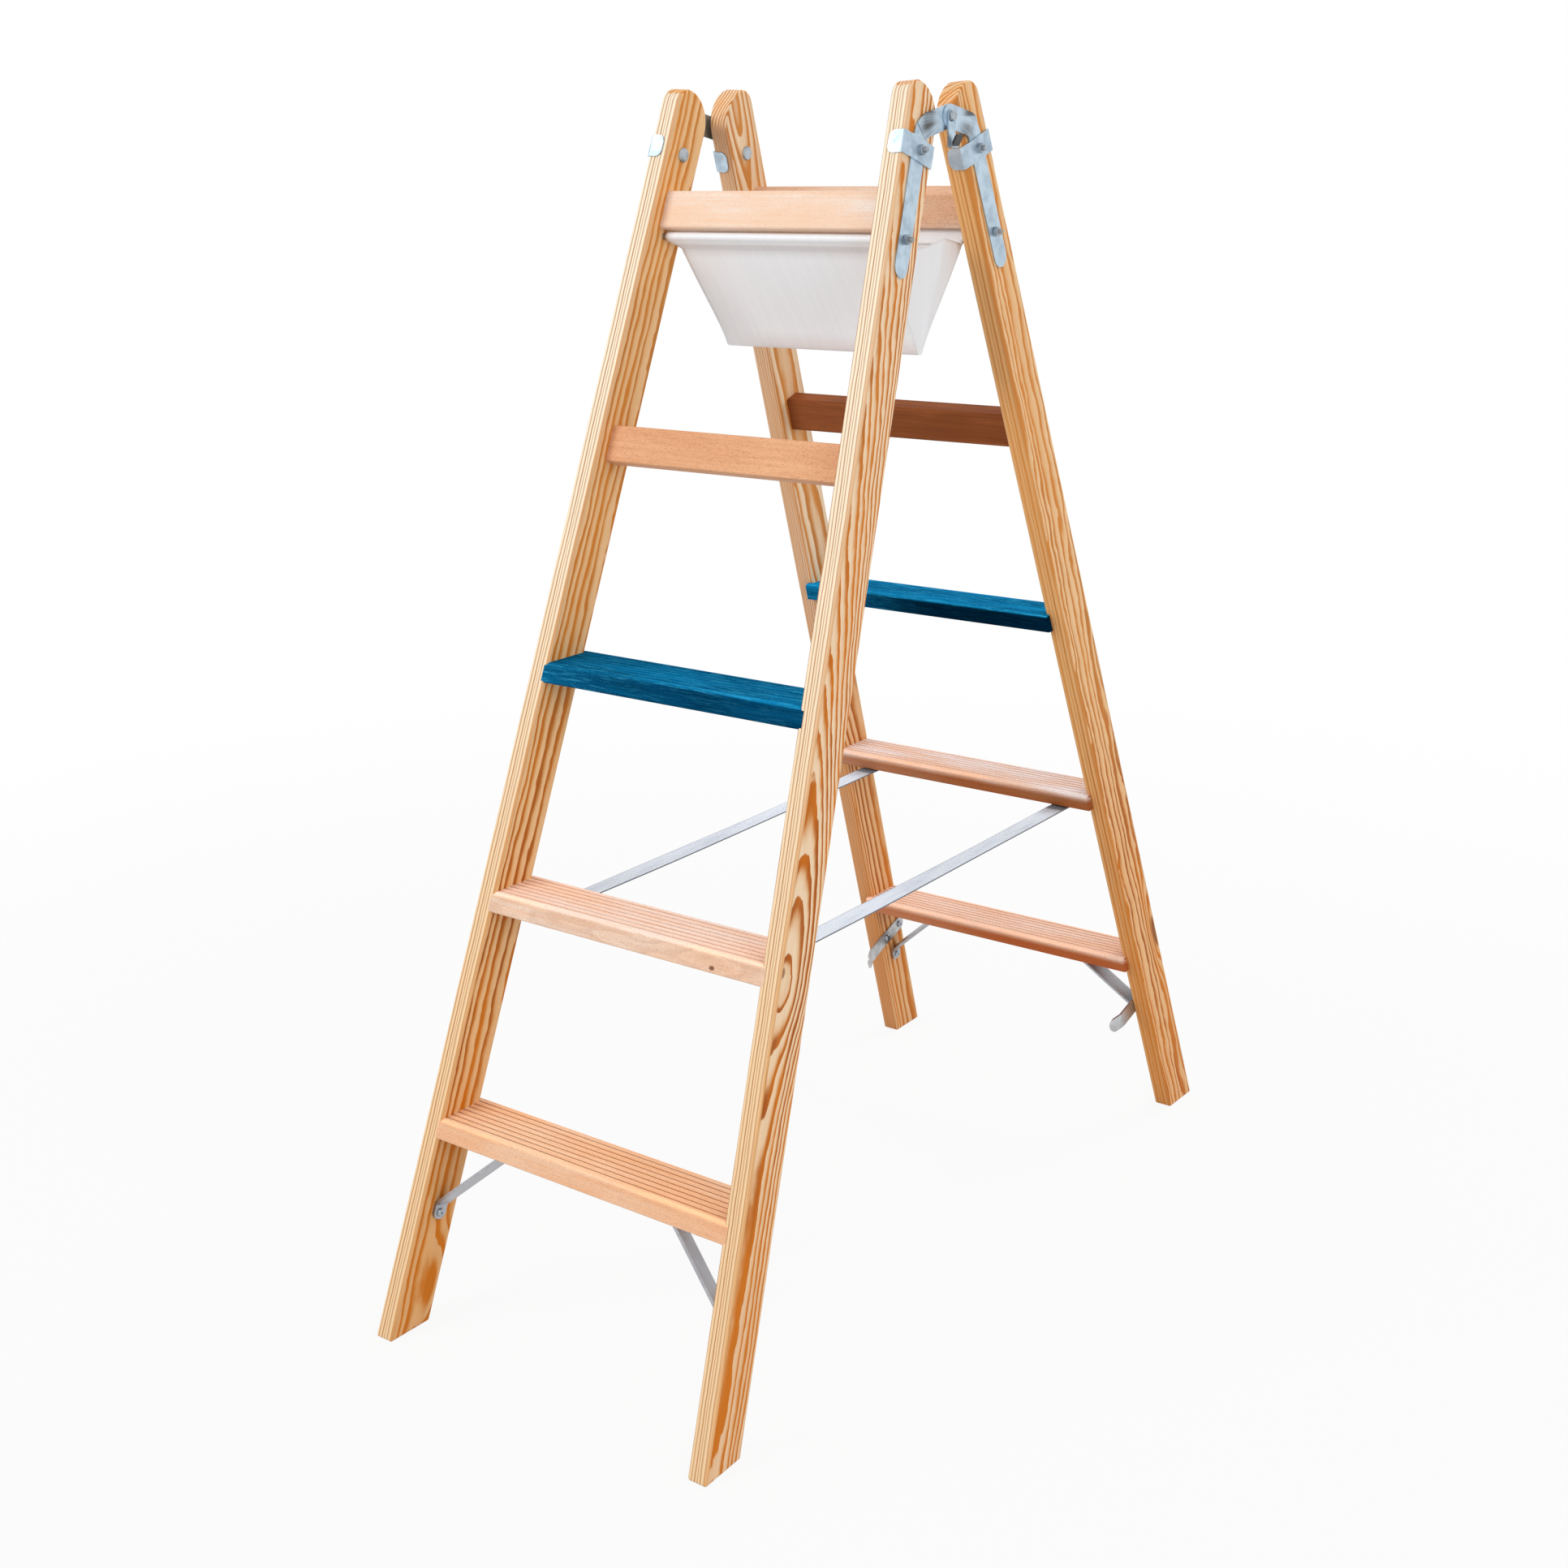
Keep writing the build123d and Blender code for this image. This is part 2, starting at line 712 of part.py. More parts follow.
def save_halves(piece, name, tail=""):
    """Write a front piece and its rear twin."""
    save(piece, name + "_front" + tail)
    save(to_rear(piece), name + "_rear" + tail)


os.makedirs("parts", exist_ok=True)

save_pair(make_stile(False), "stile_front")
save_pair(to_rear(make_stile(True)), "stile_rear")
for name, rung in rungs.items():
    save_halves(rung, "rung", "_" + name)
for name, step in steps.items():
    save_halves(step, "step", "_" + name)
save_halves(make_tie_rod(), "tie_rod")
rod_seat = Plane(origin=(rod_nut_x, rod_y, rod_z), x_dir=along, z_dir=(1, 0, 0))
save_halves(make_nuts(rod_seat), "tie_rod_nuts")

save_pair(make_hinge_plate(front_arm_x, rivet_radius + hole_clearance), "hinge_plate_front")
rear_plate = make_hinge_plate(rear_arm_x, rivet_radius + hole_clearance)
save_pair(to_rear(rear_plate), "hinge_plate_rear")
save_pair(make_clamp(True), "hinge_clamp_front")
save_pair(to_rear(make_clamp(False)), "hinge_clamp_rear")
save_halves(make_clamp_bolts(), "clamp_bolts")
clamp_seat = seat(outer.offset(hinge_thickness + clamp_thickness), middle_n, clamp_s)
save_halves(make_nuts(clamp_seat), "clamp_nuts")
save_pair(make_rivet(), "pivot_rivet")
save_pair(make_hook(), "bucket_hook")

brace = make_brace()
save_pair(brace, "brace_front")
save_pair(to_rear(brace), "brace_rear")
save_halves(make_brace_screws(), "brace_screws")
save_pair(to_rear(make_guide()), "guide_plate")
save(to_rear(make_guide_screws()), "guide_screws")
save_pair(make_strap(), "strap")
save_halves(make_strap_plates(), "strap_plates")
save_halves(make_strap_screws(), "strap_screws")
save(make_tray(), "tool_tray")
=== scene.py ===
"""Looks of a double-sided wooden stepladder, built around its packed CAD model.

The CAD nodes get procedural finishes. Threads, screw recesses, stitches, the cloth tool tray and the webbing
straps are pieces of their own. Lengths are in metres."""

import json
import math

import bmesh
import bpy
import numpy as np
from bpy.props import FloatProperty, FloatVectorProperty, IntProperty, PointerProperty
from mathutils import Euler, Matrix, Vector


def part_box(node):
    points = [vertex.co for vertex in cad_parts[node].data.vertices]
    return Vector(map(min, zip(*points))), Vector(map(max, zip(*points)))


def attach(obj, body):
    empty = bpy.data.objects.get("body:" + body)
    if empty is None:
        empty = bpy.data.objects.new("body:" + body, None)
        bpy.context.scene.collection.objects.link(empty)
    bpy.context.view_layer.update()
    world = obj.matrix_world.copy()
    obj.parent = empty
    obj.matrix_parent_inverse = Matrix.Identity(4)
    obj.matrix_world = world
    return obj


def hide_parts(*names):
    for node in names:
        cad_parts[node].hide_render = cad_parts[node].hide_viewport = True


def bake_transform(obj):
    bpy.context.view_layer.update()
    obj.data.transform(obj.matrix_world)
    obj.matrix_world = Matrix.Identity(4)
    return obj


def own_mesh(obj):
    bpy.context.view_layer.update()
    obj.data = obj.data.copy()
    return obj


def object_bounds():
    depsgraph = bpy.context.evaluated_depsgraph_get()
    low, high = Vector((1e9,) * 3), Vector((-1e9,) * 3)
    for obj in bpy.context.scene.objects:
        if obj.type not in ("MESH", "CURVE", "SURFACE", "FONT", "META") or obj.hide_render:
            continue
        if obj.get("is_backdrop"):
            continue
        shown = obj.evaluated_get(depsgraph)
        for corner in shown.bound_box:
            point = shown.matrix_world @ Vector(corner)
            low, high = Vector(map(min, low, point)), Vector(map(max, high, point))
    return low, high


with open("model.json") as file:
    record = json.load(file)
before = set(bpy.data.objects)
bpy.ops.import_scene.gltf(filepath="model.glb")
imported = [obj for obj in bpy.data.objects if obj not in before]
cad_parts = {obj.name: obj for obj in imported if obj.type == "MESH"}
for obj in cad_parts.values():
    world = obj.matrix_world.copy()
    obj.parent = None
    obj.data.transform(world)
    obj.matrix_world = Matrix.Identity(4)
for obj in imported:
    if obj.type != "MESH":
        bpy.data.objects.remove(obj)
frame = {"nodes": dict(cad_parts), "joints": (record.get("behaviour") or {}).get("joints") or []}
cad_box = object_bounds()

bl_info = {
    "name": "Wooden stepladder",
    "version": (1, 0, 0),
    "blender": (4, 5, 0),
    "location": "View3D > Sidebar > Stepladder",
    "description": "Finishes, soft parts and studio of a double-sided wooden stepladder",
    "category": "Object",
}

HALVES = {"front": -1, "rear": 1}  # direction along Y
SIDES = {"left": -1, "right": 1}  # direction along X
WHITE = (1.0, 1.0, 1.0)

# Stiles
LEAN = math.radians(20.0)
FOOT_WIDTH = 0.507
TOP_WIDTH = 0.343
STILE_LENGTH = 1.530
STILE_THICKNESS = 0.025
WOOD_SHINE = 0.08
PULL_FROM = 4.6  # drift lengths above its nearest point where the pith crosses the board
RINGS = (  # what sets the rings of one board apart from those of another
    "Ring Width", "Edge Width", "Pith X", "Pith Y", "Drift X", "Drift Y", "Taper", "Near Height",
    "Drift Length", "Pull X", "Core", "Wander", "Swell X", "Swell Height", "Swell Width", "Swell Length",
    "Swell", "Knot")
SAP_AND_HIGHLIGHT_LOW = (0.98, 0.88, 0.76)  # tint of the climbing edge near the floor: pale sapwood with a painted highlight
SAP_AND_HIGHLIGHT_HIGH = (1.04, 1.14, 1.26)  # and near the top

# Rungs and steps
BROWN = (0.40, 0.17, 0.08)  # flecks of beech
GROOVE_MARGIN = 0.0055  # plain wood in front of and behind the grooves
GROOVE_SHADE = (0.50, 0.31, 0.21)
NOSE_HIGHLIGHT = (1.35, 1.30, 1.25)  # painted highlight along the front and back edges of a tread
KNOT_HEART = (0.17, 0.055, 0.02)

# Metalwork
ARM_REFLECTION = (0.10, 0.095, 0.095)  # painted dark reflection on the bent parts of the hinge arms
DIP_HEIGHT = 0.0058  # dipped part of a hook's lip
THREAD_RADIUS = 0.00285
THREAD_RIDGE = 0.32  # radius of a thread's ridge, in pitches
THREAD_END = 0.6  # end of a thread below the tip of its bolt, in pitches

# Tool tray
TRAY_SHIFT = 0.0033  # the tray hangs a little off centre
SLEEVE_SLACK = 0.0005  # between a rod and the hem round it
HEM_ROWS, ROLL_ROWS, SLEEVE_ROWS, PANEL_ROWS, RIDGE_ROWS = 9, 15, 11, 30, 5
COLUMNS = 48
HEM_TAIL = 0.0015  # turned-in cloth below the seam
HEM_LAYER = 0.0009  # turned-in cloth behind the panel
HEM_CURVE = 0.75  # power of the turned-in cloth's swing out to the roll
PANEL_BELLY = 0.0012
PANEL_IN = 0.81, 0.58  # Y and Z of the way into the tray, square to the front panel
EDGE_CURVE = 1.6  # power of the sideways run of a panel's edge
RIDGE_ROUND = 0.006  # radius of the ridge
RIDGE_GAP = 0.0006
RIDGE_MEET, RIDGE_CURVE = 0.97, 6  # share of that radius that a panel bends out by, and its power
ROLL_END = 0.004  # down to here the hem keeps its full length
SEAM_INSET, RIDGE_INSET = 0.0085, 0.0122  # ends of the seam and of the ridge, in from the hem's end
CREASE = 0.72  # crease of a gusset, as a share of its width
FOLD_FROM = 0.42  # where a gusset starts to rise towards its crease
FOLD_CURVE, LIFT_CURVE = 1.7, 4  # powers of that rise, and of its growth up the gusset
CREASE_OUT, CREASE_UP = 0.005, 0.0095  # how far the crease stands out and is pushed up
BELLY_IN, BELLY_DOWN = 0.003, 0.001  # how far the cloth before it hangs in and down
GUSSET_COLUMNS = 20, 6  # before and behind the crease
HEM_SHADE = 0.012  # darkest line of the painted shade below the hem
HEM_TINT = (0.94, 0.93, 0.93)
# tint of the painted shade below the hem
HEM_SHADOW_TINT = (0.80, 0.76, 0.75)
# tint of the painted shade along the ridge
RIDGE_SHADE_TINT = (0.87, 0.79, 0.76)
STITCH_INSET = 0.002
STITCH_THREAD = 0.00028
STITCH_SHARE = 0.7  # length of a stitch, in pitches
STITCH_LIFT, STITCH_BACK = 0.0001, 0.0011  # off the cloth, and more behind for the turned-in cloth
BLEND_HEIGHT = 1.2

# Straps
STRAP_ROWS, STRAP_COLUMNS = 80, 8
STRAP_SAG = 0.0016
STRAP_TWIST = 0.0006
STRAP_WAVE = 9.0  # radians of twist to the metre
STRAP_SLACK = 0.0001
STRAP_GAP = 0.0012  # between the two halves of a strap when the ladder is folded

# Sockets of a colour Mix node: share, first colour, second colour, result
MIX_SHARE, MIX_FIRST, MIX_SECOND, MIX_RESULT = 0, 6, 7, 2


def paint(name, about, *rgb):
    """Setting for a colour."""
    return FloatVectorProperty(name=name, description=about, subtype="COLOR", min=0.0, max=1.0, default=rgb)


def span(name, about, default, low, high):
    """Setting for a length."""
    return FloatProperty(name=name, description=about, unit="LENGTH", default=default, min=low, max=high)


def angle(name, about, degrees):
    """Setting for an angle."""
    return FloatProperty(name=name, description=about, subtype="ANGLE", default=math.radians(degrees))


class PineFinish(bpy.types.PropertyGroup):
    """Lacquered pine of the stiles"""

    early: paint("Earlywood", "Pale wood grown in spring", 0.85, 0.635, 0.425)
    late: paint("Latewood", "Dark line that ends each ring", 0.36, 0.080, 0.004)
    resin: paint("Resinous latewood", "Ring lines where the wood is rich in resin", 0.60, 0.160, 0.003)
    honey: paint("Honey", "Warm patches of lacquer and heartwood", 0.66, 0.280, 0.062)
    amber: paint("Amber", "Stain that the lower part of a board takes on", 0.95, 0.72, 0.50)
    # Pale sapwood, made paler still as a painted highlight of the lamps on the climbing edges
    sap: paint("Sapwood", "Palest wood, along the edges that face the climber", 0.87, 0.69, 0.475)
    sap_line: paint("Sapwood line", "Ring lines in the sapwood", 0.42, 0.150, 0.033)
    knot: paint("Knot", "Heart of a small knot", 0.20, 0.045, 0.008)
    ring_scale: FloatProperty(
        name="Ring scale", description="Growth of the tree: how far the rings of every board lie apart",
        subtype="FACTOR", default=1.0, min=0.3, max=3.0)


class BeechFinish(bpy.types.PropertyGroup):
    """Beech of the rungs and steps, and the blue stain of the upper steps"""

    pale: paint("Pale beech", "Top rungs and middle steps", 0.86, 0.765, 0.685)
    warm: paint("Warm beech", "Steps and the front second rung", 0.83, 0.46, 0.26)
    straw: paint("Straw beech", "Bottom steps and the front top rung", 0.86, 0.60, 0.43)
    rust: paint("Rust beech", "Streaks of the front second rung", 0.72, 0.35, 0.18)
    deep: paint("Deep beech", "Rear second rung", 0.37, 0.112, 0.032)
    brown: paint("Brown beech", "Streaks of the rear second rung", 0.20, 0.055, 0.016)
    blue_light: paint("Pale blue stain", "Flecks in the stained steps", 0.030, 0.30, 0.50)
    blue: paint("Blue stain", "Stained wood where the grain is open", 0.003, 0.175, 0.38)
    blue_dark: paint("Deep blue stain", "Stained wood where the grain is dense", 0.001, 0.06, 0.145)


class MetalFinish(bpy.types.PropertyGroup):
    """Zinc-plated steel, bare aluminium and the dipped lips of the hooks"""

    zinc: paint("Zinc", "Bright zinc plating", 0.55, 0.67, 0.77)
    zinc_dull: paint("Dull zinc", "Zinc plating where it has clouded", 0.42, 0.52, 0.61)
    guide: paint("Guide zinc", "Older, greyer zinc of the folding guides", 0.56, 0.57, 0.58)
    guide_dull: paint("Dull guide zinc", "Clouded patches on the folding guides", 0.40, 0.39, 0.39)
    bolt: paint("Bolt", "Bolts, nuts, screws and rivets", 0.46, 0.50, 0.54)
    bolt_dull: paint("Dull bolt", "Bolts, nuts and screws where they have clouded", 0.24, 0.27, 0.30)
    rod: paint("Rod", "Tie rods", 0.40, 0.35, 0.29)
    aluminium: paint("Aluminium", "Mill-finish bar", 0.46, 0.46, 0.48)
    dip: paint("Dip", "Dark dip on the hook lips", 0.012, 0.012, 0.014)
    thread_turns: IntProperty(
        name="Thread turns", description="Turns of thread that show past a nut", default=5, min=1, max=12)
    thread_pitch: span("Thread pitch", "Rise of the thread in one turn", 0.001, 0.0005, 0.002)


class ClothFinish(bpy.types.PropertyGroup):
    """Coated cloth of the tray and webbing of the straps"""

    cloth: paint("Cloth", "White coated cloth", 0.90, 0.925, 0.95)
    webbing: paint("Webbing", "Pale woven strap", 0.69, 0.75, 0.84)
    # Also the painted shadow where a strap passes under a step
    selvedge: paint("Selvedge", "Dark edge of the straps", 0.12, 0.13, 0.16)
    thickness: span("Cloth thickness", "Thickness of one layer of the tray", 0.0006, 0.0003, 0.002)
    hem_depth: span("Hem depth", "Seam below the middle of the rod", 0.0175, 0.01, 0.04)
    stitch_pitch: span("Stitch pitch", "One stitch to the next", 0.0036, 0.002, 0.01)


class StageSetup(bpy.types.PropertyGroup):
    """Camera, floor and lamps"""

    camera_place: FloatVectorProperty(
        name="Camera place", description="Where the camera stands",
        subtype="TRANSLATION", size=3, default=(1.4423, -2.0437, 1.3739))
    yaw: angle("Yaw", "Camera turned left from +Y", 37.62)
    pitch: angle("Pitch", "Camera tilted down", 17.35)
    roll: angle("Roll", "Camera turned about its own axis", -1.19)
    lens: FloatProperty(
        name="Lens", description="Focal length on a 36 mm sensor", unit="CAMERA", default=47.394)
    shift: FloatVectorProperty(
        name="Shift", description="Picture centre off the lens axis, in picture widths",
        size=2, default=(0.0279, 0.0003))
    floor: paint("Floor", "Pale floor", 0.60, 0.60, 0.60)
    daylight: FloatProperty(
        name="Daylight", description="Even light from all round", default=0.70, min=0.0, max=2.0)


class Wire:
    """Output of a node. Reckoning with it adds Math nodes to its tree."""

    def __init__(self, socket):
        self.socket, self.tree = socket, socket.id_data

    def math(self, operation, *others):
        return put(self.tree, "ShaderNodeMath", dict(enumerate((self, *others))), operation=operation)

    def __add__(self, other):
        return self.math("ADD", other)

    def __sub__(self, other):
        return self.math("SUBTRACT", other)

    def __rsub__(self, other):
        return self * -1.0 + other

    def __mul__(self, other):
        return self.math("MULTIPLY", other)

    def __truediv__(self, other):
        return self.math("DIVIDE", other)


def feed(node, feeds):
    """Feeds a node's inputs from wires, or sets them to values. A colour is red, green and blue."""
    for name, value in feeds.items():
        socket = node.inputs[name]
        if isinstance(value, Wire):
            value.tree.links.new(value.socket, socket)
        else:
            socket.default_value = (*value, 1.0) if socket.type == "RGBA" else value


def add_node(tree, kind, feeds=None, **settings):
    """Adds a node, sets it up and feeds its inputs."""
    node = tree.nodes.new(kind)
    for name, value in settings.items():
        setattr(node, name, value)
    feed(node, feeds or {})
    return node


def put(tree, kind, feeds=None, output=0, **settings):
    """Adds a node and gives the wire from one of its outputs."""
    return Wire(add_node(tree, kind, feeds, **settings).outputs[output])


def split(vector):
    """X, Y and Z of a vector."""
    return [Wire(socket) for socket in add_node(vector.tree, "ShaderNodeSeparateXYZ", {0: vector}).outputs]


def square(value):
    return value * value


def noise(place, stretch, detail=2.0, roughness=0.5):
    """Noise about 0.5, in a space stretched evenly or by different amounts along each axis."""
    stretch = (stretch,) * 3 if isinstance(stretch, float) else stretch
    scaled = put(place.tree, "ShaderNodeVectorMath", {0: place, 1: stretch}, operation="MULTIPLY")
    feeds = {"Vector": scaled, "Scale": 1.0, "Detail": detail, "Roughness": roughness}
    return put(place.tree, "ShaderNodeTexNoise", feeds, "Fac")


def line_noise(value, detail):
    """Noise about 0.5 along a line."""
    feeds = {"W": value, "Scale": 1.0, "Detail": detail}
    return put(value.tree, "ShaderNodeTexNoise", feeds, "Fac", noise_dimensions="1D")


def ease(value, first, last, start=0.0, end=1.0):
    """Smooth step from start, where a value is at its first limit or before it, to end at the last limit."""
    feeds = {"Value": value, "From Min": first, "From Max": last, "To Min": start, "To Max": end}
    return put(value.tree, "ShaderNodeMapRange", feeds, interpolation_type="SMOOTHSTEP")


def mix(share, first, second, blend="MIX"):
    """Colour between two others."""
    tree = next(value.tree for value in (share, first, second) if isinstance(value, Wire))
    feeds = {MIX_SHARE: share, MIX_FIRST: first, MIX_SECOND: second}
    return put(tree, "ShaderNodeMix", feeds, MIX_RESULT, data_type="RGBA", blend_type=blend)


def shade(colour, tint):
    """Colour multiplied by a tint."""
    if isinstance(colour, Wire):
        return mix(1.0, colour, tint, "MULTIPLY")
    return [a * b for a, b in zip(colour, tint)]


def new_group(name, kind, inputs):
    """New node group: its tree and its inputs, each given as a number or as a kind of socket."""
    tree = bpy.data.node_groups.new(name, kind)
    for label, value in inputs.items():
        sort = value if isinstance(value, str) else "Float"
        socket = tree.interface.new_socket(label, in_out="INPUT", socket_type=f"NodeSocket{sort}")
        if sort == "Float":
            socket.default_value = value
    given = add_node(tree, "NodeGroupInput").outputs
    return tree, {label: Wire(given[label]) for label in inputs}


def end_group(tree, outputs, sort="Float"):
    """Gives a node group its outputs."""
    for label in outputs:
        tree.interface.new_socket(label, in_out="OUTPUT", socket_type=f"NodeSocket{sort}")
    add_node(tree, "NodeGroupOutput", outputs)
    return tree


def place_group(tree, maker, feeds):
    """Places a node group in a material, made on first use: its outputs by name."""
    group = bpy.data.node_groups.get(maker.__name__) or maker()
    node = add_node(tree, "ShaderNodeGroup", feeds, node_tree=group)
    return {socket.name: Wire(socket) for socket in node.outputs}


def ring_parts(count, along, vary):
    """Pale summer growth and the dark late line of each ring, from a running count of rings."""
    turns = (line_noise(along, 1.0) - 0.5) * 1.2 + count
    part = turns.math("FRACT")
    fall = ease(part, 0.99, 0.93)
    ring = put(turns.tree, "ShaderNodeTexWhiteNoise", {"W": turns.math("FLOOR")}, noise_dimensions="1D")
    strength = ring * vary + (1.0 - vary)
    return ease(part, 0.20, 0.75) * fall, ease(part, 0.45, 0.75) * strength * fall


def pine_grain():
    """Growth rings round a pith that comes nearest the board at one height, with a swelling and its knot."""
    tree, given = new_group("pine_grain", "ShaderNodeTree", {"Board": "Vector", **dict.fromkeys(RINGS, 1.0)})
    board, drift, core = given["Board"], given["Drift Length"], given["Core"]
    x, y, z = split(board)
    rise = z - given["Near Height"]
    # The pith runs off below its nearest point, and bends away above it
    higher = rise.math("MAXIMUM", 0.0)
    away = square(rise.math("MINIMUM", 0.0) / drift)
    pith_y = given["Drift Y"] * (away / (away + 1.0)) + given["Pith Y"]
    pith_y = given["Taper"] * higher.math("SQRT") + pith_y
    pith_x = given["Drift X"] * (higher / (higher + drift)) + given["Pith X"]
    above = (higher / (drift * PULL_FROM)).math("POWER", 4.0)
    pith_x = given["Pull X"] * (above / (above + 1.0)) + pith_x
    # Rings sway a little, and swell round a knot
    sway = (noise(board, (60.0, 60.0, 17.0), 1.0) - 0.5) * 0.34 + (noise(board, (14.0, 14.0, 3.4)) - 0.5)
    sway = (noise(board, (170.0, 170.0, 60.0), 1.0) - 0.5) * 0.12 + sway
    radius = sway * given["Wander"] + (square(x - pith_x) + square(y - pith_y)).math("SQRT")
    far = square((x - given["Swell X"]) / given["Swell Width"])
    far = far + square((z - given["Swell Height"]) / given["Swell Length"])
    swell = (far * -1.0).math("EXPONENT")
    radius = swell * given["Swell"] + radius
    count = ((square(radius) + square(core)).math("SQRT") - core) / given["Ring Width"]
    summer, late = ring_parts(count, radius * 70.0, 0.12)
    across = sway * 0.005 + y
    edge = ring_parts(across / given["Edge Width"], across * 90.0, 0.4)[1]
    return end_group(tree, {
        "Summer": summer,
        "Late": late,
        "Edge Late": edge,
        "Fibre": noise(board, (900.0, 900.0, 12.0), 2.0, 0.6),
        "Warmth": noise(board, (30.0, 40.0, 2.4)),
        "Height": z,
        "Climb": ease(x, 0.0026, 0.0010),
        "Inside": ease(x, 0.0574, 0.0590),
        "Corner": ease(y, -0.0080, -0.0118),
        "Knot": ease(swell, 0.72, 0.95) * given["Knot"],
    })


def beech_figure():
    """Flecks, streaks and tone of beech whose grain runs along X."""
    tree, given = new_group("beech_figure", "ShaderNodeTree", {"Place": "Vector", "Sway": 0.004})
    place = given["Place"]
    bend = noise(place, (5.0, 16.0, 16.0), 1.0) - 0.5
    push = put(tree, "ShaderNodeCombineXYZ", {1: bend, 2: bend})
    feeds = {0: push, 1: given["Sway"], 2: place}
    moved = put(tree, "ShaderNodeVectorMath", feeds, operation="MULTIPLY_ADD")
    return end_group(tree, {
        "Fleck": ease(noise(moved, (330.0, 1900.0, 1900.0), 1.0), 0.54, 0.68),
        "Streak": noise(moved, (4.5, 230.0, 230.0), 3.0, 0.6),
        "Tone": noise(place, (7.0, 24.0, 24.0)),
        "Line": ease(noise(moved, (34.0, 720.0, 720.0), 2.0, 0.6), 0.52, 0.68),
    })


def handling():
    """Faint marks that use leaves on wood and metal: a cloudy film and short scuffs."""
    tree, given = new_group("handling", "ShaderNodeTree", {"Place": "Vector", "Amount": 0.5})
    place, amount = given["Place"], given["Amount"]
    return end_group(tree, {
        "Film": ease(noise(place, 26.0, 3.0, 0.6), 0.42, 0.72) * amount,
        "Scuff": ease(noise(place, (340.0, 90.0, 90.0), 2.0, 0.6), 0.66, 0.74) * amount,
    })


def new_material(name):
    """Empty material and its tree."""
    made = bpy.data.materials.new(name)
    made.use_nodes = True
    return made, made.node_tree


def finish(made, colour, rough, relief=None, **others):
    """Feeds a material's shader. The relief is a height, how far it stands out, and its strength."""
    feeds = {"Base Color": colour, "Roughness": rough}
    for name, value in others.items():
        feeds[name.replace("_", " ")] = value
    if relief:
        height, distance, strength = relief
        raised = {"Strength": strength, "Distance": distance, "Height": height}
        feeds["Normal"] = put(made.node_tree, "ShaderNodeBump", raised)
    feed(made.node_tree.nodes["Principled BSDF"], feeds)
    return made


def object_place(tree):
    """Place on the piece, in its own frame."""
    return put(tree, "ShaderNodeTexCoord", None, "Object")


def stile_axes(half, side):
    """Origin on the floor and turn of a stile: X across its width, Y through it, Z up it."""
    y, x = HALVES[half], SIDES[side]
    flare = math.atan((FOOT_WIDTH - TOP_WIDTH) / 2 / STILE_LENGTH)
    across = Vector((0, -y * math.cos(LEAN), -math.sin(LEAN)))
    up = Vector((0, -y * math.sin(LEAN), math.cos(LEAN))) * math.cos(flare)
    up.x = -x * math.sin(flare)
    low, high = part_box(f"stile_{half}_{side}")
    origin = Vector((x * (FOOT_WIDTH - STILE_THICKNESS) / 2, low.y if y < 0 else high.y, 0))
    return origin, Matrix((across, up.cross(across), up)).transposed().to_euler()


def make_pine(look, half, side, tint, amber, bold, inner_edge_shade, rings):
    """Lacquered pine of one stile: amber low down, lines that fade upwards, pale sapwood with a painted
    highlight on the climbing edge, and a tint of painted shade on the inner edge.
    """
    made, tree = new_material(f"pine_{half}_{side}")
    origin, turn = stile_axes(half, side)
    feeds = {"Vector": object_place(tree), "Location": origin, "Rotation": turn}
    board = put(tree, "ShaderNodeMapping", feeds, vector_type="TEXTURE")
    grain = place_group(tree, pine_grain, {"Board": board, **rings})
    marks = place_group(tree, handling, {"Place": board, "Amount": 0.5})
    height, warmth, edge = grain["Height"], grain["Warmth"], grain["Edge Late"]
    low, high, share = amber
    base = mix(ease(warmth, 0.44, 0.74, 0.0, 0.35), shade(look.early, tint), look.honey)
    base = mix(ease(height, high, low) * share, base, shade(base, look.amber))
    strong = ease(height, *bold)
    line = mix(strong, look.honey, mix(ease(warmth, 0.34, 0.58), look.late, look.resin))
    ringed = mix(grain["Summer"] * (strong * 0.45 + 0.40), base, look.honey)
    ringed = mix(grain["Late"], ringed, line)
    ringed = mix(grain["Knot"], ringed, look.knot)
    # Painted shade on the inner edge, which stands in shade on the rear stiles
    ringed = mix(grain["Inside"], ringed, mix(edge, shade(base, inner_edge_shade), line))
    # The climbing edge: pale sapwood, made paler as a painted highlight of the lamps on that edge
    sap = shade(mix(ease(height, 0.30, 1.25), SAP_AND_HIGHLIGHT_LOW, SAP_AND_HIGHLIGHT_HIGH), look.sap)
    pale = mix(grain["Corner"] * 0.6, mix(edge, sap, look.sap_line), look.honey)
    ringed = mix(grain["Climb"], ringed, pale)
    fibre = grain["Fibre"] * 0.44 + 0.78
    streaks = put(tree, "ShaderNodeCombineColor", {0: fibre, 1: fibre, 2: fibre})
    gloss = marks["Film"] * 0.12 + (grain["Late"] * -0.08 + 0.48)
    return finish(made, mix(0.85, ringed, streaks, "MULTIPLY"), gloss, (grain["Fibre"], 0.0002, 0.25),
                  Specular_IOR_Level=WOOD_SHINE)


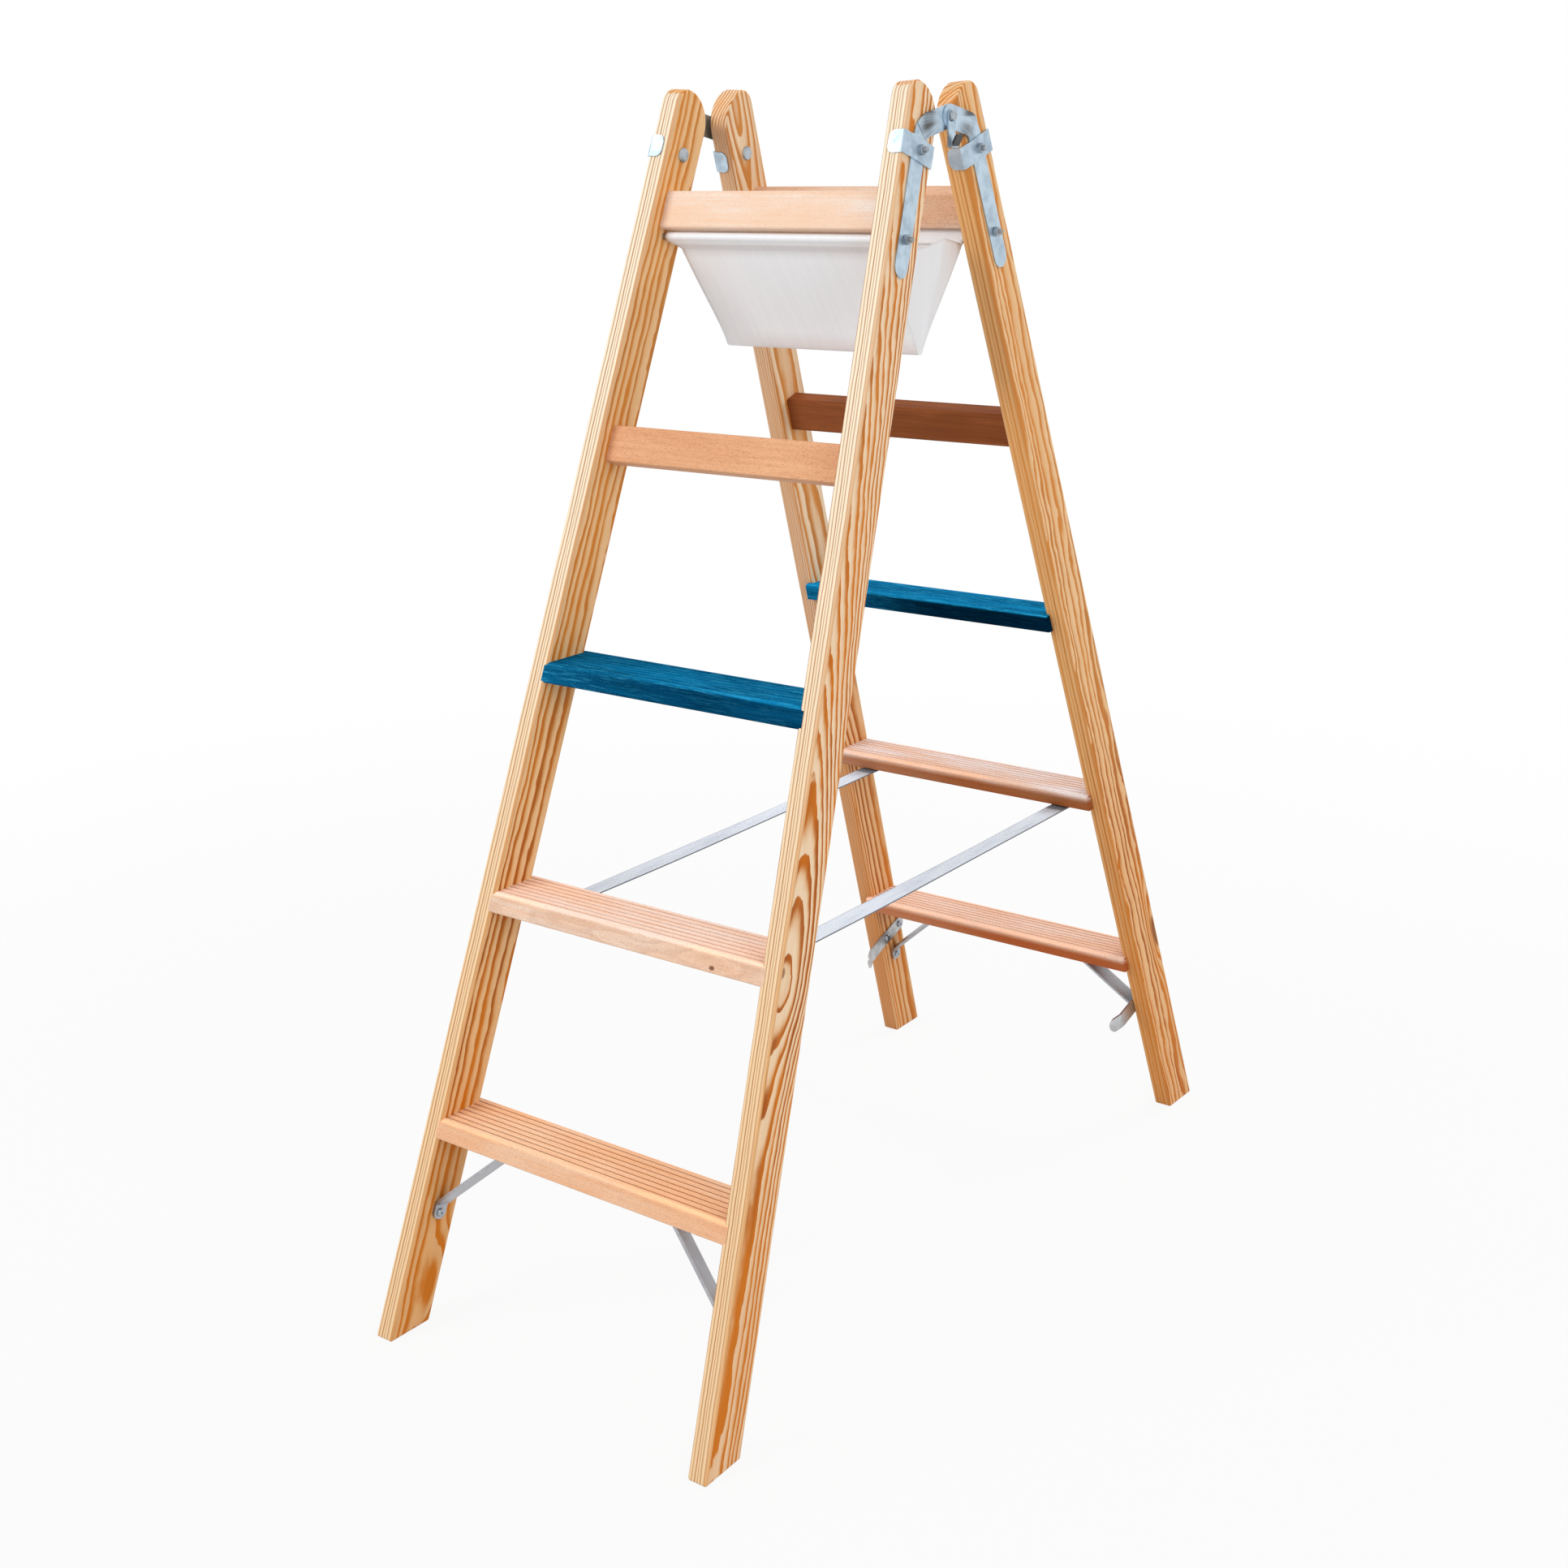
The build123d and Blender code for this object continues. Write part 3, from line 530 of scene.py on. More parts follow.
def cut_step(colour, place, tone, fleck, box, face, tops, face_from=0.8, face_shade_depth=0.0035, swirl=0, knot=None):
    """Colour of a step: painted shade on the face below the tread, a tinted tread, painted shade in the
    grooves and a painted highlight along the edges of the tread.
    """
    low, high = box
    x, y, z = split(place)
    top = high.z
    slant = (top - low.z) * math.tan(LEAN)
    middle = (low.y + high.y + (slant if low.y < 0 else -slant)) / 2
    depth = (high.y - low.y - slant) / 2
    off = (y - middle).math("ABSOLUTE")
    # Painted shade on the face below the tread: it fades in downwards from the tread's edge and is weaker
    # towards the left end
    under = ease(z, top - 0.001, top - face_shade_depth)
    if swirl:
        curl = (tone * 7.0).math("FRACT")
        curl = ease(curl, 0.1, 0.7) * ease(curl, 1.0, 0.8)
        colour = mix(curl * under * swirl, colour, fleck)
    left = ease(x, low.x, 0.15 * high.x, face_from, 1.0)
    colour = shade(colour, mix(under * left, WHITE, face))
    if knot:
        knot_x, knot_z, width, height = knot
        away = square((x - knot_x) / width) + square((z - knot_z) / height)
        colour = mix(ease(away, 0.3, 2.0, 0.9, 0.0), colour, KNOT_HEART)
    colour = mix(under, shade(colour, mix(ease(x, low.x, high.x), *tops)), colour)
    # Painted highlight in dots along the front and back edges of the tread
    nose = ease(off, depth - 0.0045, depth - 0.002) * ease(z, top - 0.005, top - 0.002)
    colour = mix(nose * ease(tone, 0.35, 0.60, 0.2, 1.0), colour, shade(colour, NOSE_HIGHLIGHT))
    reach = depth - GROOVE_MARGIN
    sunk = ease(z, top - 0.0003, top - 0.0013) * ease(z, top - 0.0042, top - 0.0036)
    return mix(sunk * ease(off, reach + 0.0005, reach), colour, shade(colour, GROOVE_SHADE))


def make_beech(name, light, dark, fleck, sway=0.004, fleck_share=0.55, line_share=0.12, shine=WOOD_SHINE,
               step=None, **cut):
    """Lacquered or stained beech with its grain along X, for a rung or a step."""
    made, tree = new_material(name)
    place = object_place(tree)
    figure = place_group(tree, beech_figure, {"Place": place, "Sway": sway})
    marks = place_group(tree, handling, {"Place": place, "Amount": 0.4})
    tone, streak = figure["Tone"], figure["Streak"]
    colour = mix(ease(tone, 0.3, 0.7, 0.0, 0.8), light, dark)
    colour = mix(ease(streak, 0.35, 0.70, 0.0, 0.85), colour, dark)
    colour = mix(figure["Fleck"] * fleck_share, colour, fleck)
    colour = mix(figure["Line"] * line_share, colour, fleck)
    if step:
        colour = cut_step(colour, place, tone, fleck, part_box(step), **cut)
    gloss = streak * 0.08 + (marks["Film"] * 0.14 + 0.46)
    relief = figure["Fleck"] * -0.6 + streak, 0.0002, 0.35
    return finish(made, colour, gloss, relief, Specular_IOR_Level=shine)


def clouds(place, scale):
    """Cloudy patches of zinc plating."""
    return ease(noise(place, scale, 3.0, 0.65), 0.35, 0.7)


def make_zinc(name, bright, dull, rough, arms=False):
    """Clouded zinc plating; hinge arms get painted dark reflections, in streaks, on their bent parts."""
    made, tree = new_material(name)
    place = object_place(tree)
    marks = place_group(tree, handling, {"Place": place, "Amount": 1.0})
    cloud = clouds(place, 55.0)
    grain = noise(place, 900.0)
    colour = mix(marks["Scuff"] * 0.6, mix(cloud, bright, dull), bright)
    if arms:
        # Painted dark reflections in streaks on the bent parts of the hinge arms
        x, y, z = split(place)
        up = z - fold_height()
        away = (square(y) + square(up)).math("SQRT")
        rays = line_noise(up.math("ARCTAN2", y) * 3.2, 3.0)
        dark_reflection = ease(away, 0.018, 0.040) * ease(away, 0.064, 0.046) * ease(rays, 0.28, 0.66)
        colour = mix(dark_reflection * 0.95, colour, ARM_REFLECTION)
    return finish(made, colour, grain * 0.12 + (cloud * 0.14 + rough), (grain, 0.00004, 0.5), Metallic=1.0)


def make_dipped_zinc(look):
    """Zinc hook whose outer lip is dipped in dark plastic."""
    made, tree = new_material("dipped_hook")
    place = object_place(tree)
    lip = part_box("bucket_hook_right")[1].x - DIP_HEIGHT
    dipped = ease(split(place)[0].math("ABSOLUTE"), lip - 0.0008, lip)
    cloud = clouds(place, 70.0)
    colour = mix(dipped, mix(cloud, look.zinc, look.zinc_dull), look.dip)
    relief = noise(place, 1400.0), 0.00006, 0.4
    return finish(made, colour, cloud * 0.14 + 0.28, relief, Metallic=1.0 - dipped)


def make_aluminium(look):
    """Flat bar with draw lines along its length."""
    made, tree = new_material("aluminium_bar")
    place = object_place(tree)
    marks = place_group(tree, handling, {"Place": place, "Amount": 0.9})
    lines = noise(place, (12.0, 2200.0, 12.0), 2.0, 0.7)
    dull = shade(look.aluminium, (0.78, 0.78, 0.80))
    colour = mix(marks["Film"], mix(ease(lines, 0.3, 0.7), look.aluminium, dull), dull)
    rough = marks["Scuff"] * 0.15 + (lines * 0.2 + 0.28)
    return finish(made, colour, rough, (lines, 0.00005, 0.6), Metallic=1.0)


def weave(tree, threads):
    """The piece's own UV map, which is in metres, its X and Y, and the height of a plain weave on it."""
    flat = put(tree, "ShaderNodeUVMap", uv_map="weave")
    x, y, z = split(flat)
    turn = 2 * math.pi * threads
    return flat, x, y, (x * turn).math("SINE") * (y * turn).math("SINE")


def make_tray_cloth(look, cut, roll):
    """White coated cloth with a faint weave, soft shading, and painted shade below the hems and along the
    ridge.
    """
    made, tree = new_material("tray_cloth")
    flat, x, y, woven = weave(tree, 700.0)
    bands = noise(flat, (160.0, 4.0, 1.0), 2.0, 0.6)
    soft = noise(flat, (9.0, 9.0, 1.0), 3.0)
    colour = mix(ease(bands, 0.35, 0.7), look.cloth, shade(look.cloth, (0.97, 0.97, 0.98)))
    colour = mix(ease(soft, 0.5, 0.8, 0.0, 0.5), colour, shade(look.cloth, (0.95, 0.93, 0.90)))
    above = (y - cut / 2).math("ABSOLUTE")  # up from the ridge
    drop = (cut / 2 - roll) - above  # down from the hem
    # Painted shade below the hem, where the roll overhangs the cloth
    hem_shadow = ease(drop, 0.006, HEM_SHADE) * ease(drop, 0.034, HEM_SHADE)
    colour = mix(hem_shadow, colour, shade(colour, HEM_SHADOW_TINT))
    # Painted shade along the ridge, fading out towards the left end
    ridge = ease(above, 0.030, 0.003) * ease(x, -0.13, -0.05)
    colour = mix(ridge, colour, shade(colour, RIDGE_SHADE_TINT))
    colour = mix(ease(drop, 0.01, 0.0), colour, shade(colour, HEM_TINT))
    return finish(made, colour, bands * 0.16 + 0.36, (bands * 1.2 + woven, 0.00006, 0.25), Sheen_Weight=0.1)


def make_webbing(look):
    """Woven strap, with dark selvedges along its edges and painted shadow where it passes under the steps."""
    made, tree = new_material("strap_webbing")
    flat, x, y, woven = weave(tree, 420.0)
    ribs = (y * (2 * math.pi * 650.0)).math("SINE")
    wear = noise(flat, (60.0, 12.0, 1.0), 3.0, 0.6)
    low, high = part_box("strap_right")
    half = (high.x - low.x) / 2
    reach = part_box("step_rear_middle")[0].y
    edge = ease(x.math("ABSOLUTE"), half - 0.0008, half - 0.0003)
    # Dark selvedges along the edges, and painted shadow where the strap passes under the steps
    dark = edge.math("MAXIMUM", ease(y.math("ABSOLUTE"), reach - 0.010, reach + 0.002))
    grey = shade(look.webbing, (0.80, 0.82, 0.85))
    colour = mix(dark, mix(ease(wear, 0.4, 0.75), look.webbing, grey), look.selvedge)
    return finish(made, colour, wear * 0.2 + 0.55, (woven + ribs, 0.00012, 0.6), Sheen_Weight=0.2)


def make_thread(name, colour, rough):
    """Twisted sewing thread, or another small plain part, with a fine uneven tone."""
    made, tree = new_material(name)
    grain = noise(object_place(tree), 1500.0, 1.0)
    return finish(made, mix(grain, shade(colour, (0.75, 0.75, 0.77)), colour), grain * 0.2 + rough)


def fold_height():
    """Height of the hinge axis."""
    return next(joint for joint in frame["joints"] if joint["name"] == "ladder_fold")["pos_m"][2]


def dress(nodes, material):
    """Gives CAD nodes a material."""
    for name in nodes:
        mesh = frame["nodes"][name].data
        mesh.materials.clear()
        mesh.materials.append(material)


def named(pattern):
    """Names of the CAD nodes that a pattern with HALF or SIDE stands for."""
    names = (pattern.replace("HALF", half).replace("SIDE", side) for half in HALVES for side in SIDES)
    return list(dict.fromkeys(names))


def add_piece(name, mesh):
    """New object at the origin."""
    piece = bpy.data.objects.new(name, mesh)
    bpy.context.scene.collection.objects.link(piece)
    return piece


def add_wall(piece, thickness):
    """Thickens a sheet to both sides."""
    wall = piece.modifiers.new("wall", "SOLIDIFY")
    wall.thickness, wall.offset = thickness, 0.0


def islands(work):
    """Points of each separate part of a mesh."""
    left = set(work.verts)
    while left:
        island, edge = set(), [min(left, key=lambda vert: tuple(vert.co))]
        while edge:
            vert = edge.pop()
            if vert not in island:
                island.add(vert)
                edge.extend(e.other_vert(vert) for e in vert.link_edges)
        left -= island
        yield np.array(sorted(tuple(vert.co) for vert in island))


def fasteners(node):
    """(point, outward direction) at the wide and the narrow end of every fastener in a CAD node."""
    work = bmesh.new()
    work.from_mesh(frame["nodes"][node].data)
    bmesh.ops.remove_doubles(work, verts=work.verts, dist=1e-6)
    found = []
    for points in islands(work):
        mean, middle = points.mean(0), (points.min(0) + points.max(0)) / 2
        axis = np.linalg.svd(points - mean, full_matrices=False)[2][0]
        along = (points - mean) @ axis
        radial = np.linalg.norm((points - mean) - np.outer(along, axis), axis=1)
        wide = axis if along[radial.argmax()] > (along.min() + along.max()) / 2 else -axis
        reach = (points - middle) @ wide
        centre = mean - wide * ((mean - middle) @ wide)
        found.append(((Vector(centre + wide * reach.max()), Vector(wide)),
                      (Vector(centre + wide * reach.min()), Vector(-wide))))
    work.free()
    return found


def scatter(tree, points, item, axis, material):
    """Ends a geometry tree: an item at every point, turned along an axis, as real, finished geometry."""
    turn = put(tree, "FunctionNodeAlignRotationToVector", {"Vector": axis}, axis="Z")
    feeds = {"Points": points, "Instance": item, "Rotation": turn}
    placed = put(tree, "GeometryNodeInstanceOnPoints", feeds)
    real = put(tree, "GeometryNodeRealizeInstances", {"Geometry": placed})
    finished = put(tree, "GeometryNodeSetMaterial", {"Geometry": real, "Material": material})
    return end_group(tree, {"Geometry": finished}, "Geometry")


def point_axis(tree):
    """The axis attribute of a point."""
    return put(tree, "GeometryNodeInputNamedAttribute", {"Name": "axis"}, data_type="FLOAT_VECTOR")


def make_stitch_tree():
    """Stitches along every path of a wire mesh."""
    tree, given = new_group("stitch_rows", "GeometryNodeTree", {
        "Geometry": "Geometry", "Pitch": 0.0036, "Length": 0.0026, "Thread": 0.0003, "Material": "Material"})
    paths = put(tree, "GeometryNodeMeshToCurve", {"Mesh": given["Geometry"]})
    rows = put(tree, "GeometryNodeResampleCurve", {"Curve": paths, "Length": given["Pitch"]}, mode="LENGTH")
    feeds = {"Vertices": 6, "Radius": given["Thread"], "Depth": given["Length"]}
    stitch = put(tree, "GeometryNodeMeshCylinder", feeds, fill_type="TRIANGLE_FAN")
    return scatter(tree, rows, stitch, put(tree, "GeometryNodeInputTangent"), given["Material"])


def make_thread_tree():
    """Screw thread at every point, rising along the point's axis."""
    tree, given = new_group("bolt_threads", "GeometryNodeTree", {
        "Geometry": "Geometry", "Radius": 0.003, "Turns": 5.0, "Pitch": 0.001, "Material": "Material"})
    helix = put(tree, "GeometryNodeCurveSpiral", {
        "Resolution": 20, "Rotations": given["Turns"], "Start Radius": given["Radius"],
        "End Radius": given["Radius"], "Height": given["Turns"] * given["Pitch"]})
    feeds = {"Resolution": 5, "Radius": given["Pitch"] * THREAD_RIDGE}
    ridge = put(tree, "GeometryNodeCurvePrimitiveCircle", feeds, mode="RADIUS")
    thread = put(tree, "GeometryNodeCurveToMesh", {"Curve": helix, "Profile Curve": ridge, "Fill Caps": True})
    return scatter(tree, given["Geometry"], thread, point_axis(tree), given["Material"])


def make_recess_tree():
    """Cross recess at every point, square to the point's axis."""
    tree, given = new_group("cross_recesses", "GeometryNodeTree", {
        "Geometry": "Geometry", "Span": 0.0034, "Slot": 0.0008, "Depth": 0.0003, "Material": "Material"})
    cross = add_node(tree, "GeometryNodeJoinGeometry")
    for long, wide in (("Span", "Slot"), ("Slot", "Span")):
        size = put(tree, "ShaderNodeCombineXYZ", {0: given[long], 1: given[wide], 2: given["Depth"]})
        feed(cross, {0: put(tree, "GeometryNodeMeshCube", {"Size": size}, "Mesh")})
    return scatter(tree, given["Geometry"], Wire(cross.outputs[0]), point_axis(tree), given["Material"])


def grow(piece, tree, **values):
    """Runs a geometry tree on a piece and keeps the result as a plain mesh."""
    modifier = piece.modifiers.new(tree.name, "NODES")
    modifier.node_group = tree
    for item in tree.interface.items_tree:
        if item.item_type == "SOCKET" and item.in_out == "INPUT" and item.name in values:
            modifier[item.identifier] = values[item.name]
    bpy.context.view_layer.update()
    mesh = bpy.data.meshes.new_from_object(piece.evaluated_get(bpy.context.evaluated_depsgraph_get()))
    piece.modifiers.clear()
    piece.data = mesh
    mesh.name = piece.name


def add_points(name, placed):
    """New piece of single points, each with its axis."""
    mesh = bpy.data.meshes.new(name)
    mesh.from_pydata([point for point, axis in placed], [], [])
    axes = mesh.attributes.new("axis", "FLOAT_VECTOR", "POINT")
    axes.data.foreach_set("vector", [part for point, axis in placed for part in axis])
    return add_piece(name, mesh)


def add_quads(work, grid):
    """Faces between the rows of a grid of vertices."""
    for a, b in zip(grid, grid[1:]):
        for i in range(len(a) - 1):
            work.faces.new((a[i], a[i + 1], b[i + 1], b[i]))


def lay_flat(work, places, smooth):
    """Gives every face its place on the flat cloth, as UVs in metres."""
    flat = work.loops.layers.uv.verify()
    for face in work.faces:
        face.smooth = smooth
        for loop in face.loops:
            loop[flat].uv = places[loop.vert]


def keep_mesh(work, name):
    """Turns a worked mesh into a mesh to keep."""
    mesh = bpy.data.meshes.new(name)
    work.to_mesh(mesh)
    work.free()
    return mesh


def rod_axis(half):
    """Y and Z of a tie rod, and its radius."""
    low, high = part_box(f"tie_rod_{half}")
    return (low.y + high.y) / 2, (low.z + high.z) / 2, (high.z - low.z) / 2


def tray_profile(look):
    """Rows of the tray cloth from the front hem over the ridge to the rear hem, and the slope of a panel.

    Each row is (y, z, distance below the rod)."""
    y, z, rod = rod_axis("front")
    roll = rod + SLEEVE_SLACK
    ridge = Vector((0.0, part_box("tool_tray")[0].z + RIDGE_GAP + RIDGE_ROUND))
    hub = Vector((y, z))
    length = (ridge - hub).length
    fall = (ridge - hub).normalized()
    outwards = Vector((fall.y, -fall.x))
    hem = look.hem_depth
    rows = []
    for i in range(HEM_ROWS):
        up = i / (HEM_ROWS - 1)
        down = (hem + HEM_TAIL) * (1 - up)
        rows.append((hub + fall * down - outwards * (HEM_LAYER + (roll - HEM_LAYER) * up ** HEM_CURVE), down))
    for i in range(1, ROLL_ROWS + 1):
        turn = math.pi * (1 - i / (ROLL_ROWS + 1))
        rows.append((hub - fall * roll * math.sin(turn) + outwards * roll * math.cos(turn), 0.0))
    for i in range(SLEEVE_ROWS):
        share = i / (SLEEVE_ROWS - 1)
        rows.append((hub + fall * hem * share + outwards * roll * (1 - share), hem * share))
    for i in range(1, PANEL_ROWS):
        share = i / PANEL_ROWS
        down = hem + (length - hem) * share
        bulge = PANEL_BELLY * math.sin(math.pi * share) + RIDGE_ROUND * RIDGE_MEET * share ** RIDGE_CURVE
        rows.append((hub + fall * down + outwards * bulge, down))
    flank = math.atan2(outwards.y, outwards.x) % (2 * math.pi)
    for i in range(RIDGE_ROWS):
        turn = flank + (math.pi * 1.5 - flank) * i / (RIDGE_ROWS - 1)
        rows.append((ridge + RIDGE_ROUND * Vector((math.cos(turn), math.sin(turn))), length))
    front = [(point.x, point.y, down) for point, down in rows]
    return front + [(-y, z, down) for y, z, down in reversed(front[:-1])], length


def tray_edge(side, down, length, hem):
    """X of the tray's left or right edge: full at the roll, cut in at the seam, then nearly straight."""
    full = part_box("tool_tray")[1].x - SLEEVE_SLACK
    if down <= ROLL_END:
        return side * full
    if down < hem:
        share = (down - ROLL_END) / (hem - ROLL_END)
        return side * (full - SEAM_INSET * share) + TRAY_SHIFT * share
    share = ((down - hem) / (length - hem)) ** EDGE_CURVE
    return side * (full - SEAM_INSET + (SEAM_INSET - RIDGE_INSET) * share) + TRAY_SHIFT


def add_gusset(work, places, seams, side):
    """End gusset of the tray, from the seam of the front panel to that of the rear one."""
    before, behind = GUSSET_COLUMNS
    across = [CREASE * i / before for i in range(before)]
    across += [CREASE + (1 - CREASE) * i / behind for i in range(behind + 1)]
    grid = []
    for count, (a, b) in enumerate(seams):
        height = 1 - count / (len(seams) - 1)
        row = []
        for t in across:
            place = a.lerp(b, t)
            if t <= CREASE:
                fold = max(0.0, (t - FOLD_FROM) / (CREASE - FOLD_FROM)) ** FOLD_CURVE
            else:
                fold = (1 - t) / (1 - CREASE)
            belly = math.sin(math.pi * min(1.0, t / CREASE))
            place.x += side * (CREASE_OUT * fold - BELLY_IN * belly) * height
            place.z += (CREASE_UP * fold - BELLY_DOWN * belly) * height ** LIFT_CURVE
            row.append(work.verts.new(place))
            places[row[-1]] = (a.y + (b.y - a.y) * t, place.z)
        grid.append(row)
    add_quads(work, grid)


def build_tray_cloth(look):
    """The tray's mesh, its area, the length of its cut and where the roll ends on it."""
    profile, length = tray_profile(look)
    work = bmesh.new()
    work.loops.layers.uv.new("weave")
    run = [0.0]
    for a, b in zip(profile, profile[1:]):
        run.append(run[-1] + math.dist(a[:2], b[:2]))
    grid, places = [], {}
    for (y, z, down), distance in zip(profile, run):
        left, right = (tray_edge(side, down, length, look.hem_depth) for side in (-1, 1))
        row = []
        for i in range(COLUMNS + 1):
            x = left + (right - left) * i / COLUMNS
            row.append(work.verts.new((x, y, z)))
            places[row[-1]] = (x, distance)
        grid.append(row)
    add_quads(work, grid)
    roll_end = HEM_ROWS + ROLL_ROWS
    panel = [k for k in range(roll_end, len(grid) // 2 + 1) if profile[k][2] >= look.hem_depth - 1e-6]
    for side, column in ((-1, 0), (1, COLUMNS)):
        seams = [(grid[k][column].co.copy(), grid[-1 - k][column].co.copy()) for k in panel]
        add_gusset(work, places, seams, side)
    lay_flat(work, places, True)
    bmesh.ops.remove_doubles(work, verts=work.verts, dist=2e-5)
    bmesh.ops.recalc_face_normals(work, faces=work.faces)
    area = sum(face.calc_area() for face in work.faces)
    return keep_mesh(work, "tool_tray_cloth"), area, run[-1], run[roll_end]


class LADDER_OT_stiles(bpy.types.Operator):
    """Finish the four pine stiles, each cut from its own board"""

    bl_idname = "stepladder.stiles"
    bl_label = "Stiles"

    def execute(self, context):
        look = context.scene.stepladder_pine
        # The sixth column tints the inner edge as painted shade; the front stiles get none
        for half, side, tint, amber, bold, inner_edge_shade, sizes in (
            ("front", "right", WHITE, (0.35, 0.60, 0.25), (0.80, 1.25, 1.0, 0.75), WHITE,
             (0.0031, 0.0042, 0.003, -0.0065, 0.017, 0.041, 0.092, 0.552, 0.054,
              -0.034, 0.085, 0.013, 0.003, 0.555, 0.008, 0.014, 0.0, 0.75)),
            ("front", "left", (0.97, 0.82, 0.62), (0.20, 0.60, 0.30), (0.55, 1.35, 1.0, 0.45), WHITE,
             (0.0062, 0.0048, 0.096, 0.111, 0.0, 0.0, 0.0, 0.30, 0.40,
              0.0, 0.0, 0.012, 0.050, 0.075, 0.020, 0.065, 0.016, 0.0)),
            ("rear", "right", (0.97, 0.84, 0.68), (0.45, 0.80, 0.40), (0.45, 0.80, 1.0, 0.50),
             (0.92, 0.80, 0.62),
             (0.0072, 0.0060, -0.073, -0.118, -0.060, 0.0, 0.0, 0.75, 0.75,
              0.0, 0.0, 0.020, 0.005, 0.310, 0.015, 0.060, -0.018, 0.8)),
            ("rear", "left", WHITE, (0.50, 0.85, 0.90), (0.60, 1.10, 1.0, 0.40), (0.80, 0.74, 0.72),
             (0.0040, 0.0036, -0.002, -0.0775, 0.045, 0.0, 0.0, 0.55, 0.30,
              0.0, 0.0, 0.004, 0.034, 1.52, 0.022, 0.085, -0.007, 0.0)),
        ):
            rings = dict(zip(RINGS, sizes))
            rings["Ring Width"] *= look.ring_scale
            dress([f"stile_{half}_{side}"], make_pine(look, half, side, tint, amber, bold, inner_edge_shade, rings))
        return {"FINISHED"}


class LADDER_OT_rungs(bpy.types.Operator):
    """Finish the beech rungs and steps"""

    bl_idname = "stepladder.rungs"
    bl_label = "Rungs and steps"

    def execute(self, context):
        look = context.scene.stepladder_beech
        for place, name, light, dark, fleck, line_share in (
            ("front_top", "pale", look.pale, look.straw, look.warm, 0.25),
            ("rear_top", "straw", look.pale, look.warm, BROWN, 0.2),
            ("front_second", "warm", look.warm, look.rust, BROWN, 0.25),
            ("rear_second", "deep", look.deep, look.brown, look.brown, 0.6),
        ):
            dress([f"rung_{place}"], make_beech(f"beech_{name}", light, dark, fleck, line_share=line_share))
        figured = {"swirl": 0.18, "knot": (0.133, 0.508, 0.0035, 0.0022)}
        deep = {"face_shade_depth": 0.012}
        # The face column is painted shade on the face below each tread; deep carries it further down on the
        # rear steps
        for place, light, dark, face, top, more in (
            ("front_middle", look.pale, look.straw, (0.95, 0.85, 0.78), (1.1, 0.97, 0.93), figured),
            ("front_bottom", look.straw, look.warm, (0.97, 0.91, 0.86), (1.05, 1.0, 0.93), {}),
            ("rear_middle", look.pale, look.warm, (0.42, 0.18, 0.07), (0.97, 1.0, 1.12), deep),
            ("rear_bottom", look.straw, look.warm, (0.55, 0.23, 0.10), (1.0, 1.07, 1.28), deep),
        ):
            node = f"step_{place}"
            dress([node], make_beech(f"beech_{place}", light, dark, BROWN, fleck_share=0.35, step=node,
                                     face=face, tops=(top, top), **more))
        # The face column is painted shade on the face below the tread; the left and right multipliers
        # brighten the tread towards the right as painted light
        for half, face, left, right in (
            ("front", (0.32, 0.36, 0.40), 0.85, 1.40),
            ("rear", (0.10, 0.12, 0.14), 1.5, 1.6),
        ):
            node = f"step_{half}_blue"
            tops = [(share, share, share) for share in (left, right)]
            dress([node], make_beech(f"beech_blue_{half}", look.blue, look.blue_dark, look.blue_light, 0.008,
                                     0.35, 0.65, shine=0.0, step=node, face=face, face_from=0.0, tops=tops))
        return {"FINISHED"}


class LADDER_OT_metalwork(bpy.types.Operator):
    """Finish hinges, clamps, bolts, rods, hooks, guides and braces"""

    bl_idname = "stepladder.metalwork"
    bl_label = "Metalwork"

    def execute(self, context):
        look = context.scene.stepladder_metal
        plates = named("hinge_clamp_HALF_SIDE") + named("strap_plates_HALF")
        small = named("pivot_rivet_SIDE") + ["guide_screws"]
        for kind in ("tie_rod_nuts", "clamp_bolts", "clamp_nuts", "brace_screws", "strap_screws"):
            small += named(f"{kind}_HALF")
        for nodes, name, bright, dull, rough in (
            (named("hinge_plate_HALF_SIDE"), "zinc_hinge", look.zinc, look.zinc_dull, 0.24),
            (plates, "zinc_plate", look.zinc, look.zinc_dull, 0.38),
            (named("guide_plate_SIDE"), "zinc_guide", look.guide, look.guide_dull, 0.30),
            (small, "zinc_bolt", look.bolt, look.bolt_dull, 0.16),
            (named("tie_rod_HALF"), "rod_steel", look.rod, look.bolt_dull, 0.28),
        ):
            dress(nodes, make_zinc(name, bright, dull, rough, arms=name == "zinc_hinge"))
        dress(named("brace_HALF_SIDE"), make_aluminium(look))
        dress(named("bucket_hook_SIDE"), make_dipped_zinc(look))
        return {"FINISHED"}


